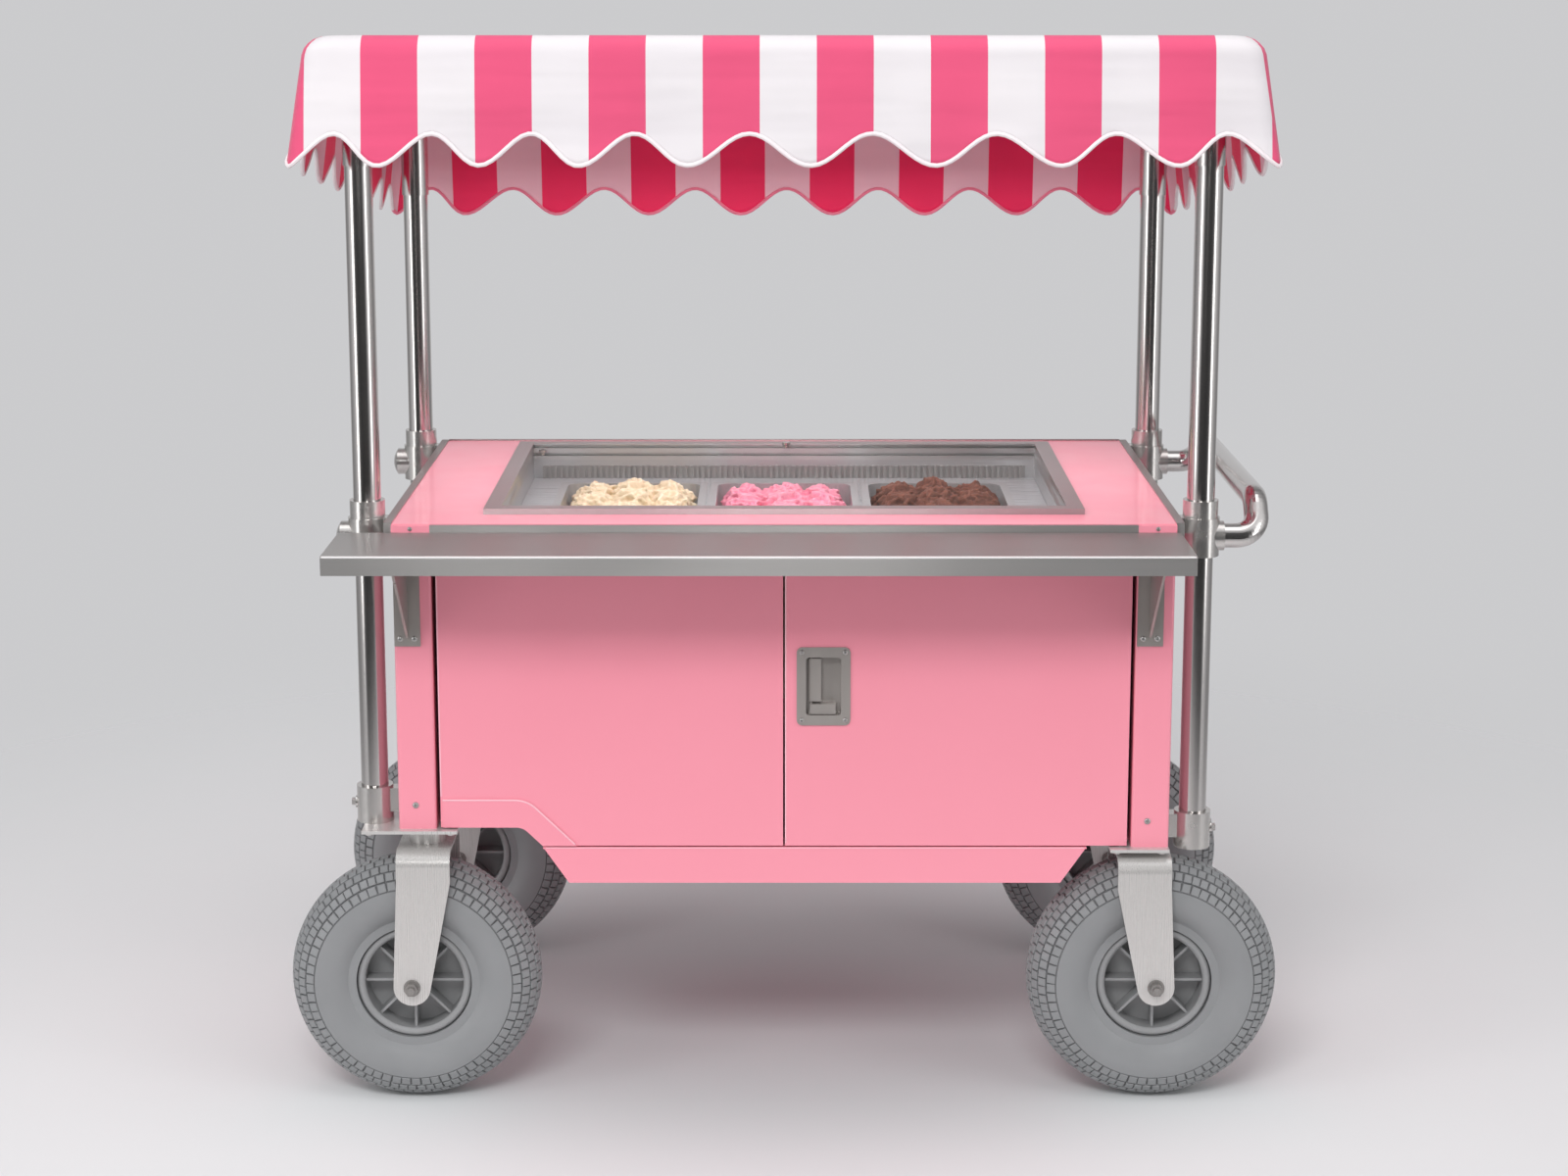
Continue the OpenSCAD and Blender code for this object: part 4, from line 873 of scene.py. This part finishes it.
def make_tyre(corner):
    low, high = box_of("tyre_" + corner)
    centre = (low + high) / 2
    radius = (high.z - low.z) / 2
    section = (high.y - low.y) / 2
    bm = bmesh.new()
    casing(bm, centre, radius, section)
    pitch = 2.0 * REACH / TREAD_ROWS
    for row in range(TREAD_ROWS):
        lean = -REACH + (row + 0.5) * pitch
        around = 78 if abs(lean) < 0.9 else 66
        length = math.tau * (radius - section + section * math.cos(lean)) / around
        for k in range(around):
            turn = math.tau * (k + 0.5 * (row % 2) + 0.03 * math.sin(k * 2.1 + row)) / around
            place = (Matrix.Translation(centre) @ Matrix.Rotation(turn, 4, "Y")
                     @ Matrix.Translation((0, 0, radius - section)) @ Matrix.Rotation(-lean, 4, "X")
                     @ Matrix.Translation((0, 0, section - TREAD)))
            tread_block(bm, place, length * 0.90, pitch * section * 0.87)
    piece = make_piece("balloon_tyre_" + corner, bm, [tyre_rubber, painted_groove_shade_rubber], "wheel_" + corner,
                       30.0)
    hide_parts("tyre_" + corner)
    return piece


tyres = [make_tyre(corner) for corner in ("front_left", "front_right", "back_left", "back_right")]
print("faces in a tyre:", len(tyres[0].data.polygons))

# %% [markdown]
# ## Screws and bolts
# Small round-headed screws hold the brackets, the latch, the corner posts and the tabs over the
# shelf. One head is a flattened dome with a hexagon on it, made from a sphere that is cut in half.

# %% Screws
FRONT = Vector((0.0, -1.0, 0.0))
LATCH_INSET = 0.008
BRACKET_Y = -0.385
BRACKET_INSET = 0.009
BRACKET_RISES = (0.012, 0.135)
CORNER_Y = -0.381
TAB_SPOT = (0.571, -0.387, 0.0055)
screw_steel = brushed_steel("screw_steel", (300.0, 300.0, 300.0), (0.50, 0.49, 0.48), 0.25, 0.4)


def screw_head(bm, spot, radius):
    head = bmesh.ops.create_uvsphere(bm, u_segments=16, v_segments=8, radius=radius)["verts"]
    below = [v for v in head if v.co.z < -0.0001]
    bmesh.ops.delete(bm, geom=below, context="VERTS")
    head = [v for v in head if v.is_valid]
    bmesh.ops.scale(bm, verts=head, vec=(1.0, 1.0, 0.5))
    socket = bmesh.ops.create_cone(bm, cap_ends=True, segments=6, radius1=radius * 0.45,
                                   radius2=radius * 0.40, depth=radius * 0.2,
                                   matrix=Matrix.Translation((0, 0, radius * 0.46)))["verts"]
    turn = FRONT.to_track_quat("Z", "Y").to_matrix().to_4x4()
    bmesh.ops.transform(bm, matrix=Matrix.Translation(spot) @ turn, verts=head + socket)


def screw_set(name, spots, radius, body):
    bm = bmesh.new()
    for spot in spots:
        screw_head(bm, Vector(spot), radius)
    make_piece(name, bm, [screw_steel], body, 35.0)


low, high = box_of("latch_dish")
latch_spots = [(x, low.y, z) for x in (low.x + LATCH_INSET, high.x - LATCH_INSET)
               for z in (low.z + LATCH_INSET, high.z - LATCH_INSET)]
screw_set("latch_screws", latch_spots, 0.0042, "door_right")
bracket_spots = []
for side in ("left", "right"):
    low, high = box_of("shelf_bracket_" + side)
    foot, head = (low.z + rise for rise in BRACKET_RISES)
    bracket_spots += [(low.x + BRACKET_INSET, BRACKET_Y, foot), (high.x - BRACKET_INSET, BRACKET_Y, foot),
                      (high.x - BRACKET_INSET, BRACKET_Y, head)]
screw_set("bracket_screws", bracket_spots, 0.0048, "cart")
corner_spots = [(-0.573, CORNER_Y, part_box("corner_post_left")[0][2] + 0.038),
                (0.566, CORNER_Y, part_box("corner_post_right")[0][2] + 0.042)]
screw_set("corner_screws", corner_spots, 0.0052, "cart")
tab_x, tab_y, tab_rise = TAB_SPOT
tab_spots = [(x, tab_y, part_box("shelf")[1][2] + tab_rise) for x in (-tab_x, tab_x)]
screw_set("tab_screws", tab_spots, 0.0036, "cart")
print("screws:", len(latch_spots) + len(bracket_spots) + len(corner_spots) + len(tab_spots))

# %% [markdown]
# The sheets of the cabinet have rolled edges. They are drawn as thin beads in a paler pink than
# the panels, a painted highlight along each edge: one follows the top of the raised band over the
# wheel arch, round its shoulder and down its slope, one runs up the left edge of each door, and
# one lies along the plinth. The fold along the front of the shelf is drawn in the same way, in a
# paler steel, also a painted highlight.

# %% Rolled edges
BEAD_R = 0.0011
BEAD_SIDES = 6
BAND_BEAD_R = 0.0015
SHELF_BEAD_R = 0.0017
BAND_TURN = math.radians(44.06)
BAND_R = 0.046
BAND_STEPS = 8
BAND_Y = -0.3829
KNEE_X = -0.3997
KNEE_RISE = 0.0740
BAND_FOOT = 0.0025
SLOPE_DROP = 0.0715
BAND_IN = 0.0035
ABOVE_BAND = 0.080
EDGE_IN = 0.0012
EDGE_Y = -0.3806
EDGE_END = 0.004
SHELF_IN = 0.0013
SHELF_END = 0.002
PLINTH_IN = 0.0004
# painted highlight: the beads are a paler pink than the enamel, so the edges read as bright lines
painted_highlight_enamel, tree, shader = new_finish("painted_highlight_enamel", (0.92, 0.50, 0.58), 0.3)
mottle(tree, shader, 40.0, 3.0, (0.90, 0.46, 0.54), (0.94, 0.55, 0.62))


def left_edge(bm, low, high, start):
    ends = (low.z + start, high.z - EDGE_END)
    sweep(bm, [Vector((low.x + EDGE_IN, EDGE_Y, z)) for z in ends], BEAD_R, BEAD_SIDES)


low, high = box_of("door_left")
knee = Vector((KNEE_X, 0.0, low.z + KNEE_RISE))
bend = knee - Vector((BAND_R * math.tan(BAND_TURN / 2), 0.0, BAND_R))
band = [Vector((low.x + BAND_IN, 0.0, knee.z))]
for i in range(BAND_STEPS + 1):
    angle = math.pi / 2 - BAND_TURN * i / BAND_STEPS
    band.append(bend + Vector((BAND_R * math.cos(angle), 0.0, BAND_R * math.sin(angle))))
band.append(Vector((knee.x + SLOPE_DROP / math.tan(BAND_TURN), 0.0, low.z + BAND_FOOT)))
bm = bmesh.new()
sweep(bm, [Vector((spot.x, BAND_Y, spot.z)) for spot in band], BAND_BEAD_R)
left_edge(bm, low, high, ABOVE_BAND)
make_piece("edges_door_left", bm, [painted_highlight_enamel], "door_left")
low, high = box_of("door_right")
bm = bmesh.new()
left_edge(bm, low, high, EDGE_END)
make_piece("edges_door_right", bm, [painted_highlight_enamel], "door_right")
low, high = box_of("shelf")
bm = bmesh.new()
ends = (low.x + SHELF_END, high.x - SHELF_END)
sweep(bm, [Vector((x, low.y + SHELF_IN, high.z - SHELF_IN)) for x in ends], SHELF_BEAD_R)
make_piece("edge_shelf", bm, [painted_highlight_steel], "cart")
low, high = box_of("plinth")
bm = bmesh.new()
ends = (low.x + EDGE_END, high.x - EDGE_END)
sweep(bm, [Vector((x, low.y + PLINTH_IN, high.z - EDGE_IN)) for x in ends], BEAD_R, BEAD_SIDES)
make_piece("edge_plinth", bm, [painted_highlight_enamel], "cart")
print("bead points:", len(band))

# %% [markdown]
# ## Floor and light
# The cart stands on a pale studio floor. It is a round sheet that fades out towards its rim, so
# that it has no edge against the background. Close to the cart its colour is darker and a little
# cooler: a painted shadow under the cart, which also takes up some of the pink that the cabinet
# throws on it.

# %% Floor
FLOOR_R = 3.5
floor_paint, tree, shader = new_finish("studio_floor", (0.78, 0.78, 0.79), 0.75)
place = add_node(tree, "ShaderNodeTexCoord")
far = add_node(tree, "ShaderNodeVectorMath", operation="LENGTH")
tree.links.new(place.outputs["Object"], far.inputs[0])
fade = remap(tree, far.outputs["Value"], 0.7, 3.4, 1.0, 0.0, "SMOOTHSTEP")
tree.links.new(fade, shader.inputs["Alpha"])
near = remap(tree, far.outputs["Value"], 0.25, 0.95, 0.0, 1.0, "SMOOTHSTEP")
tone = tint(tree, grain(tree, (2.0, 2.0, 2.0), 3.0), (0.79, 0.79, 0.80), (0.81, 0.81, 0.815))
# painted shadow: the floor is darker and cooler within about a metre of the cart
painted_cart_shadow = tint(tree, near, (0.70, 0.75, 0.75), (1.0, 1.0, 1.0))
tree.links.new(multiply(tree, tone, painted_cart_shadow), shader.inputs["Base Color"])
bm = bmesh.new()
bmesh.ops.create_circle(bm, cap_ends=True, segments=96, radius=FLOOR_R)
mesh = bpy.data.meshes.new("floor")
bm.to_mesh(mesh)
bm.free()
mesh.materials.append(floor_paint)
floor = bpy.data.objects.new("floor", mesh)
scene.collection.objects.link(floor)
print("floor laid")

# %% [markdown]
# The world is pale, and dark towards the viewer, so that round steel has contrast. Behind the
# cart it is the even grey of the background, for metal and glass as for the viewer. From other
# sides the bands themselves are the background. Light from below is weaker, except behind the
# cart.

# %% World
WORLD_BANDS = [(0.0, 0.05), (0.10, 0.08), (0.20, 0.95), (0.40, 0.80), (0.55, 0.40), (0.78, 0.22),
               (0.93, 0.60)]
BEHIND_LIFT = 0.5
world = bpy.data.worlds.new("studio")
world.use_nodes = True
scene.world = world
tree = world.node_tree
sky = tree.nodes["Background"]
place = add_node(tree, "ShaderNodeTexCoord")
split = add_node(tree, "ShaderNodeSeparateXYZ")
tree.links.new(place.outputs["Generated"], split.inputs["Vector"])
bands = add_node(tree, "ShaderNodeValToRGB")
while len(bands.color_ramp.elements) < len(WORLD_BANDS):
    bands.color_ramp.elements.new(0.5)
for element, (spot, grey) in zip(bands.color_ramp.elements, WORLD_BANDS):
    element.position = spot
    element.color = (grey, grey, grey * 1.02, 1.0)
tree.links.new(remap(tree, split.outputs["Y"], -1.0, 1.0, 0.0, 1.0), bands.inputs["Fac"])
tree.links.new(bands.outputs["Color"], sky.inputs["Color"])
behind = add_node(tree, "ShaderNodeMath", operation="MAXIMUM")
behind.inputs[1].default_value = 0.0
lift = add_node(tree, "ShaderNodeMath", operation="MULTIPLY_ADD")
lift.inputs[1].default_value = BEHIND_LIFT
tree.links.new(split.outputs["Y"], behind.inputs[0])
tree.links.new(behind.outputs[0], lift.inputs[0])
tree.links.new(split.outputs["Z"], lift.inputs[2])
strength = remap(tree, lift.outputs[0], -0.30, -0.02, 0.45, 1.0, "SMOOTHSTEP")
tree.links.new(strength, sky.inputs["Strength"])
print("bands in the world:", len(WORLD_BANDS))

# %% [markdown]
# A broad key lamp, high in front, gives the soft shading of the cabinet, with one lamp overhead
# and a weak one in front to fill. Two tall lamps at the sides draw the bright lines down the
# steel posts. Three narrow lamps in front are seen in reflections alone, as pillars of light on
# the shelf. A small lamp under the canopy lights the pans.

# %% Lamps
GLINT_SPREAD = 1.9
lamps = []


def softbox(name, spot, aim, width, height, power, glossy=True, diffuse=True):
    lamp = bpy.data.lights.new(name, "AREA")
    lamp.shape = "RECTANGLE"
    lamp.size = width
    lamp.size_y = height
    lamp.energy = power
    holder = bpy.data.objects.new(name, lamp)
    holder.location = spot
    holder.rotation_euler = (Vector(aim) - Vector(spot)).to_track_quat("-Z", "Y").to_euler()
    holder.visible_camera = False
    holder.visible_glossy = glossy
    holder.visible_diffuse = diffuse
    scene.collection.objects.link(holder)
    lamps.append(holder)


softbox("overhead", (0.0, -0.8, 4.6), (0.0, 0.0, 0.8), 3.6, 2.0, 30.0)
softbox("side_left", (-3.4, -2.3, 1.5), (0.0, 0.0, 0.9), 0.9, 3.0, 22.0)
softbox("side_right", (3.4, -2.3, 1.5), (0.0, 0.0, 0.9), 0.9, 3.0, 17.0)
softbox("front_key", (-1.1, -5.8, 5.5), (0.0, 0.0, 0.5), 3.4, 1.8, 262.0, glossy=False)
softbox("front_fill", (-0.4, -4.8, 0.9), (0.0, 0.0, 0.75), 2.6, 1.0, 33.0, glossy=False)
for number, x in enumerate((-0.45, -0.09, 0.125)):
    across = GLINT_SPREAD * x
    softbox("glint_front_" + str(number + 1), (across, -4.2, 2.15), (across, -0.5, 0.9), 0.12, 0.9, 7.0,
            diffuse=False)
softbox("under_canopy", (0.0, 0.0, 1.42), (0.0, 0.0, 0.9), 1.1, 0.7, 6.0, glossy=False)
print("lamps:", len(lamps))
